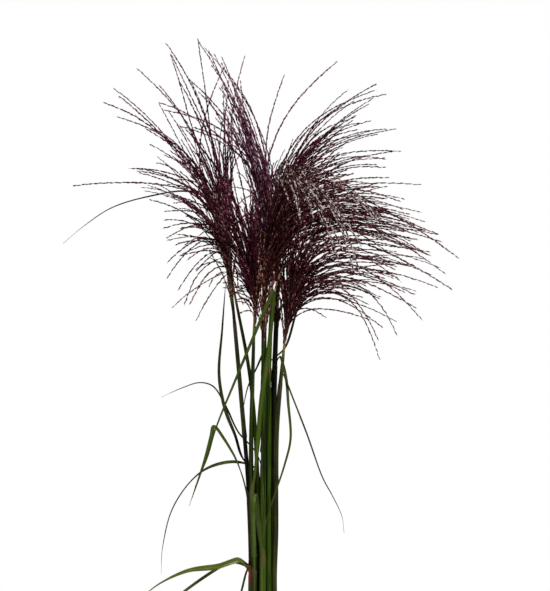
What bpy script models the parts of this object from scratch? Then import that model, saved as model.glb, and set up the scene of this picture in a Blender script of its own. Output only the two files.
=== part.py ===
"""Potted miscanthus grass clump.

A round clay pot filled with bark mix holds ten culms that rise close together. Each leaf has a
sheath round its culm and a blade. Eight culms end in a plume: a rachis with its main racemes.

Metres, +Z up. The origin is the centre of the pot's underside, and -Y is the clump's front.
"""

import math

import bmesh
import bpy
from mathutils import Matrix, Quaternion, Vector

GAP = 0.0003  # kept between pieces that touch

# Pot
POT_HEIGHT = 0.205
POT_BASE_RADIUS = 0.084
POT_TOP_RADIUS = 0.112
POT_WALL = 0.008
POT_FLOOR = 0.011
RIM_HEIGHT = 0.036
RIM_PROUD = 0.008
RIM_FLARE = 0.003
EDGE_ROUND = 0.003
DRAIN_HOLES = 3
DRAIN_RADIUS = 0.008
DRAIN_CIRCLE = 0.045
DRAIN_SIDES = 12
TURNED_STEPS = 32

# Bark mix
MIX_TOP = 0.183
MIX_CROWN = 0.006
MIX_SHOULDER = 0.060
SOCKET_DEPTH = 0.020

# Culms
CULM_BASE_RADIUS = 0.0022
CULM_TOP_RADIUS = 0.0015
CULM_SIDES = 5
CULM_STEPS_PER_SPAN = 2
WAIST_HEIGHT = 0.300
FOOT_SPREAD = 1.6  # how much further apart the culms stand in the mix than at the waist

# Leaves
SHEATH_WALL = 0.0005
COLLAR_RISE = 0.006
BLADE_THICKNESS = 0.0008
BLADE_TIP_WIDTH = 0.0007
BLADE_STEPS_PER_SPAN = 2
LOWER_LEAF_WIDTH = 0.0085
LOWER_LEAF_SHEATH = 0.024

# Plumes
RACHIS_BASE_RADIUS = 0.0014
RACHIS_TOP_RADIUS = 0.0007
RACHIS_SIDES = 5
RACHIS_STEPS = 3
RACEME_BASE_RADIUS = 0.0009
RACEME_TIP_RADIUS = 0.0004
RACEME_SIDES = 3
RACEME_STEPS = 4
RACEME_REACH = 0.6  # where a raceme's bend lies, as a share of the straight way to its tip
LOWEST_RACEME = 0.35  # its place on the rachis, as a share of the rachis's length
HIGHEST_RACEME = 0.97

# Each culm: its place at the waist, then the places that it passes through, up to its top.
CULMS = {
    "left": [(-0.014, -0.002), (-0.017, -0.002, 0.425), (-0.027, -0.004, 0.552), (-0.040, -0.010, 0.698)],
    "left_back": [(-0.006, 0.006), (-0.006, 0.007, 0.450), (-0.015, 0.010, 0.574), (-0.036, 0.014, 0.688)],
    "front_left": [(-0.01, -0.009), (-0.014, -0.011, 0.47), (-0.012, -0.013, 0.574), (-0.01, -0.018, 0.646)],
    "centre": [(0.003, -0.002), (0.005, 0.000, 0.470), (0.013, 0.003, 0.690)],
    "right_front": [(0.016, -0.004), (0.018, -0.005, 0.379), (0.019, -0.007, 0.509), (0.029, -0.012, 0.620)],
    "right_back": [(0.011, 0.006), (0.012, 0.008, 0.450), (0.021, 0.014, 0.712)],
    "front": [(0.001, -0.013), (0.002, -0.015, 0.470), (0.004, -0.022, 0.665)],
    "back": [(0.001, 0.013), (0.002, 0.016, 0.470), (0.002, 0.026, 0.700)],
    "short_left": [(-0.004, -0.003), (-0.008, -0.001, 0.380), (-0.012, 0.001, 0.462)],
    "short_right": [(0.009, -0.008), (0.009, -0.011, 0.470), (0.010, -0.013, 0.600)],
}

# Each leaf: its culm, its collar's height, the lengths of its sheath and widths of its blade, the
# way that the blade's upper face looks at the tip, and the places that the blade passes through.
LEAVES = {
    "left_arching": ("left_back", 0.456, 0.120, 0.006, (0.7, -0.7, 0.2), [
        (-0.037, 0.014, 0.467), (-0.078, 0.018, 0.455), (-0.115, 0.022, 0.410),
        (-0.130, 0.024, 0.355), (-0.132, 0.024, 0.319)]),
    "left_kinked": ("left", 0.420, 0.085, 0.008, (-0.6, -0.8, 0.1), [
        (-0.029, -0.009, 0.460), (-0.050, -0.013, 0.499), (-0.062, -0.015, 0.514),
        (-0.065, -0.017, 0.503), (-0.074, -0.019, 0.470), (-0.094, -0.022, 0.412)]),
    "long_folded": ("front_left", 0.430, 0.085, 0.006, (-0.4, -0.9, 0.2), [
        (-0.006, -0.020, 0.480), (0.000, -0.024, 0.553), (0.009, -0.029, 0.617),
        (0.015, -0.034, 0.682), (0.016, -0.037, 0.690), (0.013, -0.040, 0.685),
        (-0.007, -0.044, 0.639), (-0.033, -0.046, 0.577), (-0.059, -0.044, 0.513),
        (-0.070, -0.042, 0.475), (-0.086, -0.040, 0.438)]),
    "thin_upright": ("short_left", 0.452, 0.110, 0.003, (0.2, -1.0, 0.1), [
        (-0.027, 0.006, 0.475), (-0.035, 0.008, 0.501), (-0.048, 0.010, 0.535),
        (-0.056, 0.012, 0.580), (-0.052, 0.014, 0.639), (-0.047, 0.018, 0.706)]),
    "left_reaching": ("back", 0.462, 0.060, 0.004, (0.1, -0.6, 0.8), [
        (-0.010, 0.018, 0.482), (-0.031, 0.020, 0.505), (-0.048, 0.021, 0.540),
        (-0.064, 0.022, 0.565), (-0.081, 0.022, 0.570), (-0.105, 0.022, 0.563),
        (-0.132, 0.022, 0.551)]),
    "right_behind": ("back", 0.590, 0.110, 0.004, (-0.4, -0.9, 0.2), [
        (0.016, 0.027, 0.602), (0.030, 0.028, 0.615), (0.043, 0.029, 0.655),
        (0.055, 0.031, 0.700), (0.062, 0.033, 0.735)]),
    "right_hanging": ("right_back", 0.588, 0.135, 0.004, (0.3, -1.0, 0.1), [
        (0.027, 0.008, 0.612), (0.034, 0.000, 0.618), (0.035, -0.006, 0.600),
        (0.034, -0.012, 0.560), (0.037, -0.020, 0.499), (0.030, -0.026, 0.468),
        (0.008, -0.030, 0.401), (0.001, -0.030, 0.371)]),
    "right_trailing": ("right_front", 0.572, 0.130, 0.004, (0.5, -0.8, 0.3), [
        (0.031, -0.004, 0.583), (0.038, -0.002, 0.557), (0.058, 0.002, 0.505),
        (0.079, 0.004, 0.447), (0.092, 0.004, 0.423), (0.104, 0.004, 0.397),
        (0.107, 0.004, 0.375)]),
    "low_broad": ("left", 0.322, 0.080, 0.011, (0.0, -0.5, 0.9), [
        (-0.029, -0.006, 0.339), (-0.040, -0.008, 0.337), (-0.057, -0.010, 0.332),
        (-0.094, -0.014, 0.328), (-0.126, -0.018, 0.315), (-0.148, -0.020, 0.300),
        (-0.180, -0.024, 0.266)]),
    "low_slanting": ("left_back", 0.310, 0.075, 0.008, (0.3, -0.6, 0.7), [
        (-0.020, 0.011, 0.330), (-0.040, 0.010, 0.336), (-0.055, 0.006, 0.330),
        (-0.100, 0.000, 0.300), (-0.145, -0.005, 0.262), (-0.178, -0.008, 0.222)]),
    "low_thin": ("front_left", 0.330, 0.090, 0.003, (0.4, -0.9, 0.1), [
        (-0.018, -0.013, 0.330), (-0.027, -0.015, 0.300), (-0.040, -0.018, 0.262),
        (-0.047, -0.020, 0.232)]),
    "far_left_flag": ("left", 0.650, 0.150, 0.004, (0.3, -0.5, 0.8), [
        (-0.043, 0.006, 0.700), (-0.050, 0.016, 0.760), (-0.064, 0.022, 0.806),
        (-0.097, 0.024, 0.820), (-0.146, 0.024, 0.814), (-0.196, 0.022, 0.799),
        (-0.230, 0.020, 0.777), (-0.260, 0.018, 0.752)]),
    "thin_crossing": ("centre", 0.592, 0.130, 0.003, (0.5, -0.8, 0.2), [
        (0.004, -0.002, 0.611), (-0.007, -0.003, 0.590), (-0.018, -0.001, 0.566),
        (-0.023, 0.003, 0.544), (-0.025, 0.004, 0.528)]),
    "back_arching": ("back", 0.385, 0.115, 0.008, (0.2, 0.7, 0.6), [
        (0.003, 0.045, 0.455), (0.004, 0.090, 0.500), (0.004, 0.150, 0.500),
        (0.002, 0.205, 0.440), (0.000, 0.235, 0.370)]),
    "back_right": ("right_back", 0.420, 0.120, 0.007, (0.2, 0.7, 0.6), [
        (0.014, 0.040, 0.490), (0.016, 0.085, 0.545), (0.016, 0.140, 0.555),
        (0.014, 0.190, 0.510), (0.012, 0.225, 0.440)]),
    "front_arching": ("front", 0.345, 0.095, 0.007, (0.2, -0.7, 0.6), [
        (-0.005, -0.034, 0.395), (-0.008, -0.070, 0.430), (-0.010, -0.115, 0.425),
        (-0.009, -0.150, 0.375), (-0.008, -0.170, 0.310)]),
}

# The lowest leaves all arch over the rim. Each one: its culm, its direction in degrees, its
# collar's height, its reach, its rise above the collar, and its tip's drop below the collar.
LOWEST_LEAVES = {
    "lowest_right_front": ("right_front", -28, 0.222, 0.185, 0.052, 0.070),
    "lowest_right": ("right_back", 14, 0.214, 0.205, 0.048, 0.050),
    "lowest_back": ("back", 76, 0.220, 0.180, 0.038, 0.075),
    "lowest_left_back": ("left_back", 138, 0.212, 0.190, 0.045, 0.060),
    "lowest_left": ("left", 186, 0.224, 0.170, 0.042, 0.085),
    "lowest_front_left": ("front_left", 232, 0.216, 0.190, 0.055, 0.055),
    "lowest_front": ("front", 276, 0.226, 0.175, 0.050, 0.080),
    "lowest_front_right": ("short_right", 318, 0.212, 0.195, 0.058, 0.060),
}
# Their shape: shares of the reach, each with its share of the rise and of the drop.
LOWEST_LEAF_ARCH = [(0.12, 0.62, 0), (0.38, 1, 0), (0.66, 0.70, 0), (0.88, 0, 0.40), (1, 0, 1)]

# Each plume: the rachis's top, how closely the racemes follow the rachis before they leave it,
# and the racemes' tips, from the lowest raceme to the highest.
PLUMES = {
    "left": ((-0.050, -0.020, 0.805), 0.60, [
        (-0.086, -0.050, 0.651), (-0.112, -0.040, 0.674), (-0.122, 0.010, 0.706), (-0.122, -0.080, 0.753),
        (-0.244, -0.020, 0.825), (-0.131, -0.110, 0.869), (-0.168, -0.090, 0.912), (-0.205, -0.030, 0.933),
        (-0.161, -0.050, 0.975), (-0.100, -0.100, 0.938)]),
    "left_back": ((-0.046, 0.032, 0.800), 0.70, [
        (-0.090, 0.160, 0.800), (-0.143, 0.100, 0.834), (-0.061, 0.150, 0.854), (-0.152, 0.080, 0.886),
        (-0.094, 0.140, 0.900), (-0.188, 0.030, 0.946), (-0.120, 0.050, 1.003), (-0.081, 0.070, 1.010),
        (-0.047, 0.040, 0.975)]),
    "front_left": ((-0.016, -0.040, 0.770), 0.75, [
        (-0.043, -0.040, 0.682), (-0.025, -0.060, 0.678), (-0.031, -0.090, 0.728), (-0.016, -0.150, 0.770),
        (-0.094, -0.090, 0.789), (-0.074, -0.110, 0.834), (0.000, -0.120, 0.820), (-0.061, -0.090, 0.899),
        (-0.029, -0.060, 0.972)]),
    "centre": ((0.014, 0.008, 0.820), 0.90, [
        (0.017, -0.040, 0.912), (-0.052, 0.050, 0.912), (0.000, 0.060, 0.940), (-0.029, -0.030, 0.951),
        (0.029, 0.010, 0.971), (0.099, 0.030, 0.995), (-0.021, 0.020, 0.999), (-0.081, -0.010, 1.015)]),
    "right_front": ((0.046, -0.030, 0.735), 0.55, [
        (0.151, -0.040, 0.603), (0.174, -0.020, 0.635), (0.206, -0.050, 0.654), (0.118, -0.100, 0.680),
        (0.244, -0.060, 0.693), (0.179, -0.090, 0.694), (0.238, -0.010, 0.718), (0.209, -0.080, 0.728),
        (0.127, -0.110, 0.743), (0.088, -0.090, 0.763)]),
    "right_back": ((0.026, 0.026, 0.840), 0.85, [
        (0.130, 0.100, 0.821), (0.088, 0.130, 0.860), (0.180, 0.030, 0.873), (0.097, 0.090, 0.886),
        (0.177, 0.060, 0.904), (0.121, 0.070, 0.916), (0.164, 0.020, 0.948), (0.127, 0.030, 0.955),
        (0.151, 0.050, 0.960)]),
    "front": ((0.018, -0.040, 0.800), 0.80, [
        (0.110, -0.120, 0.718), (0.249, -0.070, 0.731), (0.075, -0.150, 0.756), (0.230, -0.050, 0.774),
        (0.147, -0.120, 0.776), (0.181, -0.080, 0.807), (0.049, -0.140, 0.808), (0.108, -0.100, 0.828),
        (0.029, -0.130, 0.830)]),
    "back": ((0.002, 0.055, 0.820), 0.80, [
        (0.010, 0.220, 0.750), (-0.029, 0.200, 0.790), (0.036, 0.210, 0.800), (-0.061, 0.180, 0.860),
        (0.075, 0.170, 0.873), (0.049, 0.150, 0.899), (-0.035, 0.150, 0.899), (0.023, 0.130, 0.925),
        (0.000, 0.120, 0.951)]),
}

# Each material: its colour and its roughness.
LOOKS = {
    "clay": ((0.46, 0.19, 0.10), 0.85),
    "bark_mix": ((0.035, 0.022, 0.014), 0.95),
    "culm_skin": ((0.055, 0.075, 0.018), 0.45),
    "leaf": ((0.070, 0.120, 0.020), 0.50),
    "plume": ((0.070, 0.018, 0.022), 0.50),
}


# ---- Objects ----


def material(look):
    colour, roughness = LOOKS[look]
    made = bpy.data.materials.new(look)
    made.use_nodes = True
    shader = made.node_tree.nodes["Principled BSDF"]
    shader.inputs["Base Color"].default_value = (*colour, 1)
    shader.inputs["Roughness"].default_value = roughness
    shader.inputs["Metallic"].default_value = 0
    made.diffuse_color = (*colour, 1)
    return made


def object_from(name, bm):
    """A new object that holds the bmesh, with its faces pointing out."""
    bmesh.ops.recalc_face_normals(bm, faces=bm.faces)
    mesh = bpy.data.meshes.new(name)
    bm.to_mesh(mesh)
    bm.free()
    obj = bpy.data.objects.new(name, mesh)
    bpy.context.scene.collection.objects.link(obj)
    return obj


def finish(obj, look, parent, origin=(0, 0, 0), smooth_angle=50):
    """Gives the object its material, its smooth shading, its parent and its origin."""
    obj.data.materials.clear()
    obj.data.materials.append(material(look))
    obj.data.shade_smooth()
    obj.data.set_sharp_from_angle(angle=math.radians(smooth_angle))
    origin = Vector(origin)
    obj.data.transform(Matrix.Translation(-origin))
    obj.parent = parent
    above = parent.parent
    obj.location = origin - (parent.location if above else Vector())
    return obj


def apply_modifiers(obj):
    graph = bpy.context.evaluated_depsgraph_get()
    obj.data = bpy.data.meshes.new_from_object(obj.evaluated_get(graph))
    obj.modifiers.clear()


def boolean(obj, operation, others):
    """Joins the others to the object or cuts them from it, and removes them."""
    group = bpy.data.collections.new(obj.name)
    for other in others:
        group.objects.link(other)
    modifier = obj.modifiers.new(operation.lower(), "BOOLEAN")
    modifier.operation = operation
    modifier.solver = "EXACT"
    modifier.operand_type = "COLLECTION"
    modifier.collection = group
    apply_modifiers(obj)
    for other in others:
        bpy.data.objects.remove(other)
    bpy.data.collections.remove(group)


# ---- Lines ----


def smooth_line(places, steps_per_span):
    """A curve through the places, with the same number of steps in each span."""
    knots = [Vector(place) for place in places]
    knots = [knots[0] * 2 - knots[1], *knots, knots[-1] * 2 - knots[-2]]
    line = []
    for a, b, c, d in zip(knots, knots[1:], knots[2:], knots[3:]):
        before, span, after = (math.sqrt((end - start).length) for start, end in ((a, b), (b, c), (c, d)))
        leave = ((b - a) / before - (c - a) / (before + span) + (c - b) / span) * span
        arrive = ((c - b) / span - (d - b) / (span + after) + (d - c) / after) * span
        for step in range(steps_per_span):
            t = step / steps_per_span
            near = b * (2 * t**3 - 3 * t**2 + 1) + leave * (t**3 - 2 * t**2 + t)
            far = c * (3 * t**2 - 2 * t**3) + arrive * (t**3 - t**2)
            line.append(near + far)
    return [*line, knots[-2]]


def bent_line(start, bend, end, steps):
    """A curve that leaves the start towards the bend and reaches the end from it."""
    shares = [step / steps for step in range(steps + 1)]
    return [start * (1 - t) ** 2 + bend * 2 * t * (1 - t) + end * t**2 for t in shares]


def at_height(line, height):
    """The place on a rising line at that height."""
    for low, high in zip(line, line[1:]):
        if high.z >= height:
            return low.lerp(high, (height - low.z) / (high.z - low.z))
    return line[-1].copy()


def between_heights(line, bottom, top):
    inside = [place for place in line if bottom < place.z < top]
    return [at_height(line, bottom), *inside, at_height(line, top)]


def culm_line(name):
    """The culm from its foot in the mix to its top."""
    (x, y), *above = CULMS[name]
    foot = (x * FOOT_SPREAD, y * FOOT_SPREAD, MIX_TOP - SOCKET_DEPTH + GAP)
    return smooth_line([foot, (x, y, WAIST_HEIGHT), *above], CULM_STEPS_PER_SPAN)


def culm_radius(line, height):
    share = (height - line[0].z) / (line[-1].z - line[0].z)
    return CULM_BASE_RADIUS + (CULM_TOP_RADIUS - CULM_BASE_RADIUS) * share


def rachis_line(name):
    top = Vector(PLUMES[name][0])
    culm = culm_line(name)
    rise = (culm[-1] - culm[-2]).normalized()
    foot = culm[-1] + rise * GAP
    return bent_line(foot, foot + rise * (top - foot).length / 2, top, RACHIS_STEPS)


def raceme_line(rachis, place, tip, closeness):
    """The raceme's curve, from its place on the rachis to its tip."""
    low = min(int(place * RACHIS_STEPS), RACHIS_STEPS - 1)
    root = rachis[low].lerp(rachis[low + 1], place * RACHIS_STEPS - low)
    rise = (rachis[low + 1] - rachis[low]).normalized()
    way = tip - root
    leave = (rise * closeness + way.normalized() * (1 - closeness)).normalized()
    return bent_line(root, root + leave * way.length * RACEME_REACH, tip, RACEME_STEPS)


# ---- Shapes ----


def square_to(look, along):
    return (look - along * look.dot(along)).normalized()


def frames(line, look_first, look_last):
    """Two directions across the line at each of its points: sideways, and the way its face looks.

    The face bends with the line, and any turn left over is spread evenly along it.
    """
    neighbours = zip([line[0], *line], [*line[1:], line[-1]])
    ways = [(after - before).normalized() for before, after in neighbours]
    looks = [square_to(Vector(look_first), ways[0])]
    for before, after in zip(ways, ways[1:]):
        looks.append(square_to(before.rotation_difference(after) @ looks[-1], after))
    wanted = square_to(Vector(look_last), ways[-1])
    twist = math.atan2(looks[-1].cross(wanted).dot(ways[-1]), looks[-1].dot(wanted))
    across = []
    for i, (along, look) in enumerate(zip(ways, looks)):
        look = Quaternion(along, twist * i / (len(line) - 1)) @ look
        across.append((look.cross(along), look))
    return across


def sweep(name, rings, is_open=False):
    """The first ring's face, extruded from ring to ring. An open one loses its two end faces."""
    bm = bmesh.new()
    first = bm.faces.new([bm.verts.new(place) for place in rings[0]])
    face = first
    for ring in rings[1:]:
        inner = face
        made = bmesh.ops.extrude_face_region(bm, geom=[face])["geom"]
        face = next(part for part in made if isinstance(part, bmesh.types.BMFace))
        if inner != first:
            bm.faces.remove(inner)
        for vert, place in zip(face.verts, ring):
            vert.co = place
    if is_open:
        bmesh.ops.delete(bm, geom=[first, face], context="FACES_ONLY")
    return object_from(name, bm)


def tube(name, line, radii, sides, is_open=False):
    rings = []
    for centre, radius, (side, face) in zip(line, radii, frames(line, (1, 0, 0), (1, 0, 0))):
        turns = [math.tau * s / sides for s in range(sides)]
        rings.append([centre + (side * math.cos(t) + face * math.sin(t)) * radius for t in turns])
    return sweep(name, rings, is_open)


def tapering_tube(name, line, first_radius, last_radius, sides):
    last = len(line) - 1
    radii = [first_radius + (last_radius - first_radius) * i / last for i in range(last + 1)]
    return tube(name, line, radii, sides)


def blade(name, line, width, look_first, look_last):
    """A grass blade: flat above, with a midrib below, and tapering to its tip."""
    rings = []
    last = len(line) - 1
    for i, (centre, (side, face)) in enumerate(zip(line, frames(line, look_first, look_last))):
        half = blade_half_width(i / last, width)
        rings.append([centre + side * half, centre - side * half, centre - face * BLADE_THICKNESS])
    return sweep(name, rings)


def blade_half_width(share, width):
    """It widens over the blade's first eighth, then tapers."""
    swell = min(1.0, 0.45 + share * 4)
    taper = (1 - share**2.2) ** 0.9
    return max(width * swell * taper, BLADE_TIP_WIDTH) / 2


def turned(name, profile):
    """The solid between the Z axis and a profile that starts and ends on it."""
    bm = bmesh.new()
    verts = [bm.verts.new((radius, 0, z)) for radius, z in profile]
    edges = [bm.edges.new(pair) for pair in zip(verts, verts[1:])]
    bmesh.ops.spin(
        bm,
        geom=verts + edges,
        cent=(0, 0, 0),
        axis=(0, 0, 1),
        angle=math.tau,
        steps=TURNED_STEPS,
        use_merge=True,
    )
    bmesh.ops.remove_doubles(bm, verts=bm.verts, dist=GAP / 10)
    return object_from(name, bm)


# ---- Pieces ----


def wall_radius(z):
    """The pot's outer radius below its rim."""
    return POT_BASE_RADIUS + (POT_TOP_RADIUS - POT_BASE_RADIUS) * z / POT_HEIGHT


def make_pot(clump):
    rim_foot = POT_HEIGHT - RIM_HEIGHT
    rim_radius = wall_radius(rim_foot) + RIM_PROUD
    rim_top_radius = rim_radius + RIM_FLARE
    pot = turned("pot", [
        (0, 0),
        (POT_BASE_RADIUS - EDGE_ROUND, 0),
        (POT_BASE_RADIUS, EDGE_ROUND),
        (wall_radius(rim_foot), rim_foot),
        (rim_radius - EDGE_ROUND, rim_foot),
        (rim_radius, rim_foot + EDGE_ROUND),
        (rim_top_radius, POT_HEIGHT - EDGE_ROUND),
        (rim_top_radius - EDGE_ROUND, POT_HEIGHT),
        (POT_TOP_RADIUS - POT_WALL + EDGE_ROUND, POT_HEIGHT),
        (POT_TOP_RADIUS - POT_WALL, POT_HEIGHT - EDGE_ROUND),
        (wall_radius(POT_FLOOR) - POT_WALL, POT_FLOOR),
        (0, POT_FLOOR),
    ])
    cutters = []
    for i in range(DRAIN_HOLES):
        turn = math.tau * i / DRAIN_HOLES
        hole = Vector((math.cos(turn), math.sin(turn), 0)) * DRAIN_CIRCLE
        line = [hole - Vector((0, 0, POT_FLOOR)), hole + Vector((0, 0, 2 * POT_FLOOR))]
        cutters.append(tube(f"drain_cutter_{i}", line, [DRAIN_RADIUS] * 2, DRAIN_SIDES))
    boolean(pot, "DIFFERENCE", cutters)
    finish(pot, "clay", clump, smooth_angle=35)


def make_mix(clump):
    bottom, edge = POT_FLOOR + GAP, MIX_TOP - MIX_CROWN
    clearance = POT_WALL + 2 * GAP
    mix = turned("bark_mix", [
        (0, bottom),
        (wall_radius(bottom) - clearance, bottom),
        (wall_radius(edge) - clearance, edge),
        (MIX_SHOULDER, MIX_TOP - MIX_CROWN / 4),
        (0, MIX_TOP),
    ])
    cutters = []
    for name in CULMS:
        foot, above = culm_line(name)[:2]
        line = [foot + (foot - above).normalized() * GAP, above]
        radius = (CULM_BASE_RADIUS + GAP) / math.cos(math.pi / CULM_SIDES)
        cutters.append(tube(f"socket_cutter_{name}", line, [radius] * 2, CULM_SIDES))
    boolean(mix, "DIFFERENCE", cutters)
    finish(mix, "bark_mix", clump)


def make_culms(clump):
    culms = {}
    for name in CULMS:
        line = culm_line(name)
        radii = [culm_radius(line, place.z) for place in line]
        culm = tube(f"culm_{name}", line, radii, CULM_SIDES)
        culms[name] = finish(culm, "culm_skin", clump, line[0])
    return culms


def make_sheath(name, culm, bottom, top):
    """The sleeve that a leaf forms round its culm."""
    line = between_heights(culm, bottom, top)
    radii = [(culm_radius(culm, place.z) + GAP) / math.cos(math.pi / CULM_SIDES) for place in line]
    sheath = tube(name, line, radii, CULM_SIDES, is_open=True)
    wall = sheath.modifiers.new("wall", "SOLIDIFY")
    wall.thickness = SHEATH_WALL
    wall.offset = 1
    apply_modifiers(sheath)
    return sheath


def make_leaf(name, culms, culm_name, collar, sheath_length, width, tip_look, places):
    culm = culm_line(culm_name)
    leaf = make_sheath(f"leaf_{name}", culm, collar - sheath_length, collar)
    centre = at_height(culm, collar)
    rise = (centre - at_height(culm, collar - COLLAR_RISE)).normalized()
    out = square_to(Vector(places[0]) - centre, rise)
    # the blade's root runs up the sheath's wall, with its upper face to the culm
    root = centre + out * (culm_radius(culm, collar) + GAP + SHEATH_WALL / 2)
    line = [root - rise * COLLAR_RISE / 2, root + rise * COLLAR_RISE / 2, *places]
    line = smooth_line(line, BLADE_STEPS_PER_SPAN)
    boolean(leaf, "UNION", [blade(f"blade_{name}", line, width, -out, tip_look)])
    finish(leaf, "leaf", culms[culm_name], centre)


def make_leaves(culms):
    for name, facts in LEAVES.items():
        make_leaf(name, culms, *facts)
    for name, (culm_name, degrees, collar, reach, rise, drop) in LOWEST_LEAVES.items():
        foot = at_height(culm_line(culm_name), collar)
        turn = math.radians(degrees)
        out = Vector((math.cos(turn), math.sin(turn), 0))
        up = Vector((0, 0, 1))
        places = [foot + out * reach * r + up * (rise * u - drop * d) for r, u, d in LOWEST_LEAF_ARCH]
        make_leaf(name, culms, culm_name, collar, LOWER_LEAF_SHEATH, LOWER_LEAF_WIDTH, out + up / 2, places)


def make_plumes(culms):
    for name, (_, closeness, tips) in PLUMES.items():
        rachis = rachis_line(name)
        plume = tapering_tube(f"plume_{name}", rachis, RACHIS_BASE_RADIUS, RACHIS_TOP_RADIUS, RACHIS_SIDES)
        racemes = []
        for i, tip in enumerate(tips):
            place = LOWEST_RACEME + (HIGHEST_RACEME - LOWEST_RACEME) * i / (len(tips) - 1)
            line = raceme_line(rachis, place, Vector(tip), closeness)
            raceme = f"raceme_{name}_{i}"
            racemes.append(tapering_tube(raceme, line, RACEME_BASE_RADIUS, RACEME_TIP_RADIUS, RACEME_SIDES))
        boolean(plume, "UNION", racemes)
        finish(plume, "plume", culms[name], rachis[0])


def main():
    for obj in list(bpy.data.objects):
        bpy.data.objects.remove(obj)
    clump = bpy.data.objects.new("clump", None)
    bpy.context.scene.collection.objects.link(clump)
    make_pot(clump)
    make_mix(clump)
    culms = make_culms(clump)
    make_leaves(culms)
    make_plumes(culms)


main()
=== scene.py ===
"""The looks of a potted miscanthus grass clump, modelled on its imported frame.

Every culm, leaf and plume of the frame is replaced by a finely made one on the same line, and
the pot and its bark mix by finer ones of the same size. Metres, +Z up, and -Y is the front.
"""

import math

import bmesh
import bpy
import numpy as np
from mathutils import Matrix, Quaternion, Vector


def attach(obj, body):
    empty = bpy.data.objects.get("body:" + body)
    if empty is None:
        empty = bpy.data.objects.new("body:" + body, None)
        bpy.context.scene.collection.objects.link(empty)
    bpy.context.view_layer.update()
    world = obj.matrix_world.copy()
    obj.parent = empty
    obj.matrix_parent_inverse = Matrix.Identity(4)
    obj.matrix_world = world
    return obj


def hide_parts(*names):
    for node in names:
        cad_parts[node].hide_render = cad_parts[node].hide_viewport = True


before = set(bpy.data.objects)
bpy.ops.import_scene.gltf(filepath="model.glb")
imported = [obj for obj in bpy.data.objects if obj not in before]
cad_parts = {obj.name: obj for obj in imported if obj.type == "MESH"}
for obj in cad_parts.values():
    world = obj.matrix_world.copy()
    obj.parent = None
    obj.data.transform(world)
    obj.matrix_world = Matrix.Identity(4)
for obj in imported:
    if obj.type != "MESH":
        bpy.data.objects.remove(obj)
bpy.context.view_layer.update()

SEED = 7
UP = Vector((0, 0, 1))

# Camera: level, and far enough away for the clump's upper three quarters to fill the picture
CAMERA_DISTANCE = 3.5
CAMERA_HEIGHT = 0.684
CAMERA_ACROSS = 0.017
PICTURE_HEIGHT = 0.768
SENSOR = 36

# Pot, to the frame's sizes
POT_HEIGHT = 0.205
POT_BASE_RADIUS = 0.084
POT_TOP_RADIUS = 0.112
POT_WALL = 0.008
POT_FLOOR = 0.011
RIM_HEIGHT = 0.036
RIM_PROUD = 0.008
RIM_FLARE = 0.003
DRAIN_HOLES = 3
DRAIN_RADIUS = 0.008
DRAIN_CIRCLE = 0.045
DRAIN_SIDES = 40
TURNED_STEPS = 144
CORNER_RADIUS = 0.004  # of the profile's corners
PROFILE_SPAN = 0.003
SHARP_ANGLE = math.radians(50)
RING_DEPTH = 0.00016  # of the faint throwing rings

# Bark mix
MIX_TOP = 0.183
MIX_CROWN = 0.006
MIX_SIDES = 120
PEAT_DEPTH = 0.0035  # how far the peat lies below the mix's top
LUMP_HEIGHT = 0.0012
CHIPS = 900
CHIP_SIDES = 8
LEAST_CHIP = 0.0045
CHIP_RANGE = 0.0125
CHIP_RINGS = ((-1, 0.84), (-0.55, 1.0), (0.55, 0.98), (1, 0.80))  # each ring's level and width

# Culms
SOCKET_DEPTH = 0.020
CULM_BASE_RADIUS = 0.0022
CULM_TOP_RADIUS = 0.0015
WAIST_HEIGHT = 0.300
FOOT_SPREAD = 1.6
CULM_SIDES = 14
CULM_STEPS_PER_SPAN = 16
NODE_SWELL = 0.16  # how much thicker a culm is at a leaf's node
NODE_LENGTH = 0.004
CULM_SPAN = 0.006
LEAST_SPAN = 0.0002
SPEAR_LENGTH = 0.05  # how far the tips of the two short culms taper
OLD_SHEATHS = 0.0007  # how much the old sheaths that wrap a culm add to its radius
LOW_SHEATHS = 0.0007  # what they add besides at its foot
MORE_SHEATHS = {"front_left": 0.0004, "right_back": 0.0011, "right_front": 0.0006, "centre": 0.0008,
                "short_right": 0.0006, "front": 0.0008, "back": 0.0008}
SCALE_STEPS = 16
SCALE_FOOT = 0.012  # how far below the mix's top a dry scale starts
SCALE_TOPS = (0.014, 0.055)
SCALE_GAP = 0.0004
SCALE_FLARE = 0.0045
SCALE_THICKNESS = (0.00022, 0.0003)  # at its edges and at its middle

# Leaves
SHEATH_GAP = 0.0002
SHEATH_STEPS = 14
SHEATH_WRAP = 0.96  # the share of the culm's girth that a sheath goes round
COLLAR_RISE = 0.006
BLADE_STEPS_PER_SPAN = 10
BLADE_COLUMNS = 11
TWIST_SHARE = 0.4  # how far up a blade its turn towards its tip's look is done
BLADE_TIP_WIDTH = 0.0005
MIDRIB_THICKNESS = 0.0007
MIDRIB_WIDTH = 0.0007
EDGE_THICKNESS = 0.00014
WAVE = 0.05  # how far a blade's edges ripple, as a share of its half width
WAVE_RATE = 150
OPENING = 2.6  # how many widths above its collar a blade lies open
LONGEST_OPENING = 0.030
TROUGH = 0.55  # how far each half of a blade turns up, in radians
POINTED = ("low_broad",)  # the blades that taper soon and evenly
VEINS = 26  # the rate of the veins across a blade
LOWER_LEAF_WIDTH = 0.0085
LOWER_LEAF_SHEATH = 0.024

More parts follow.
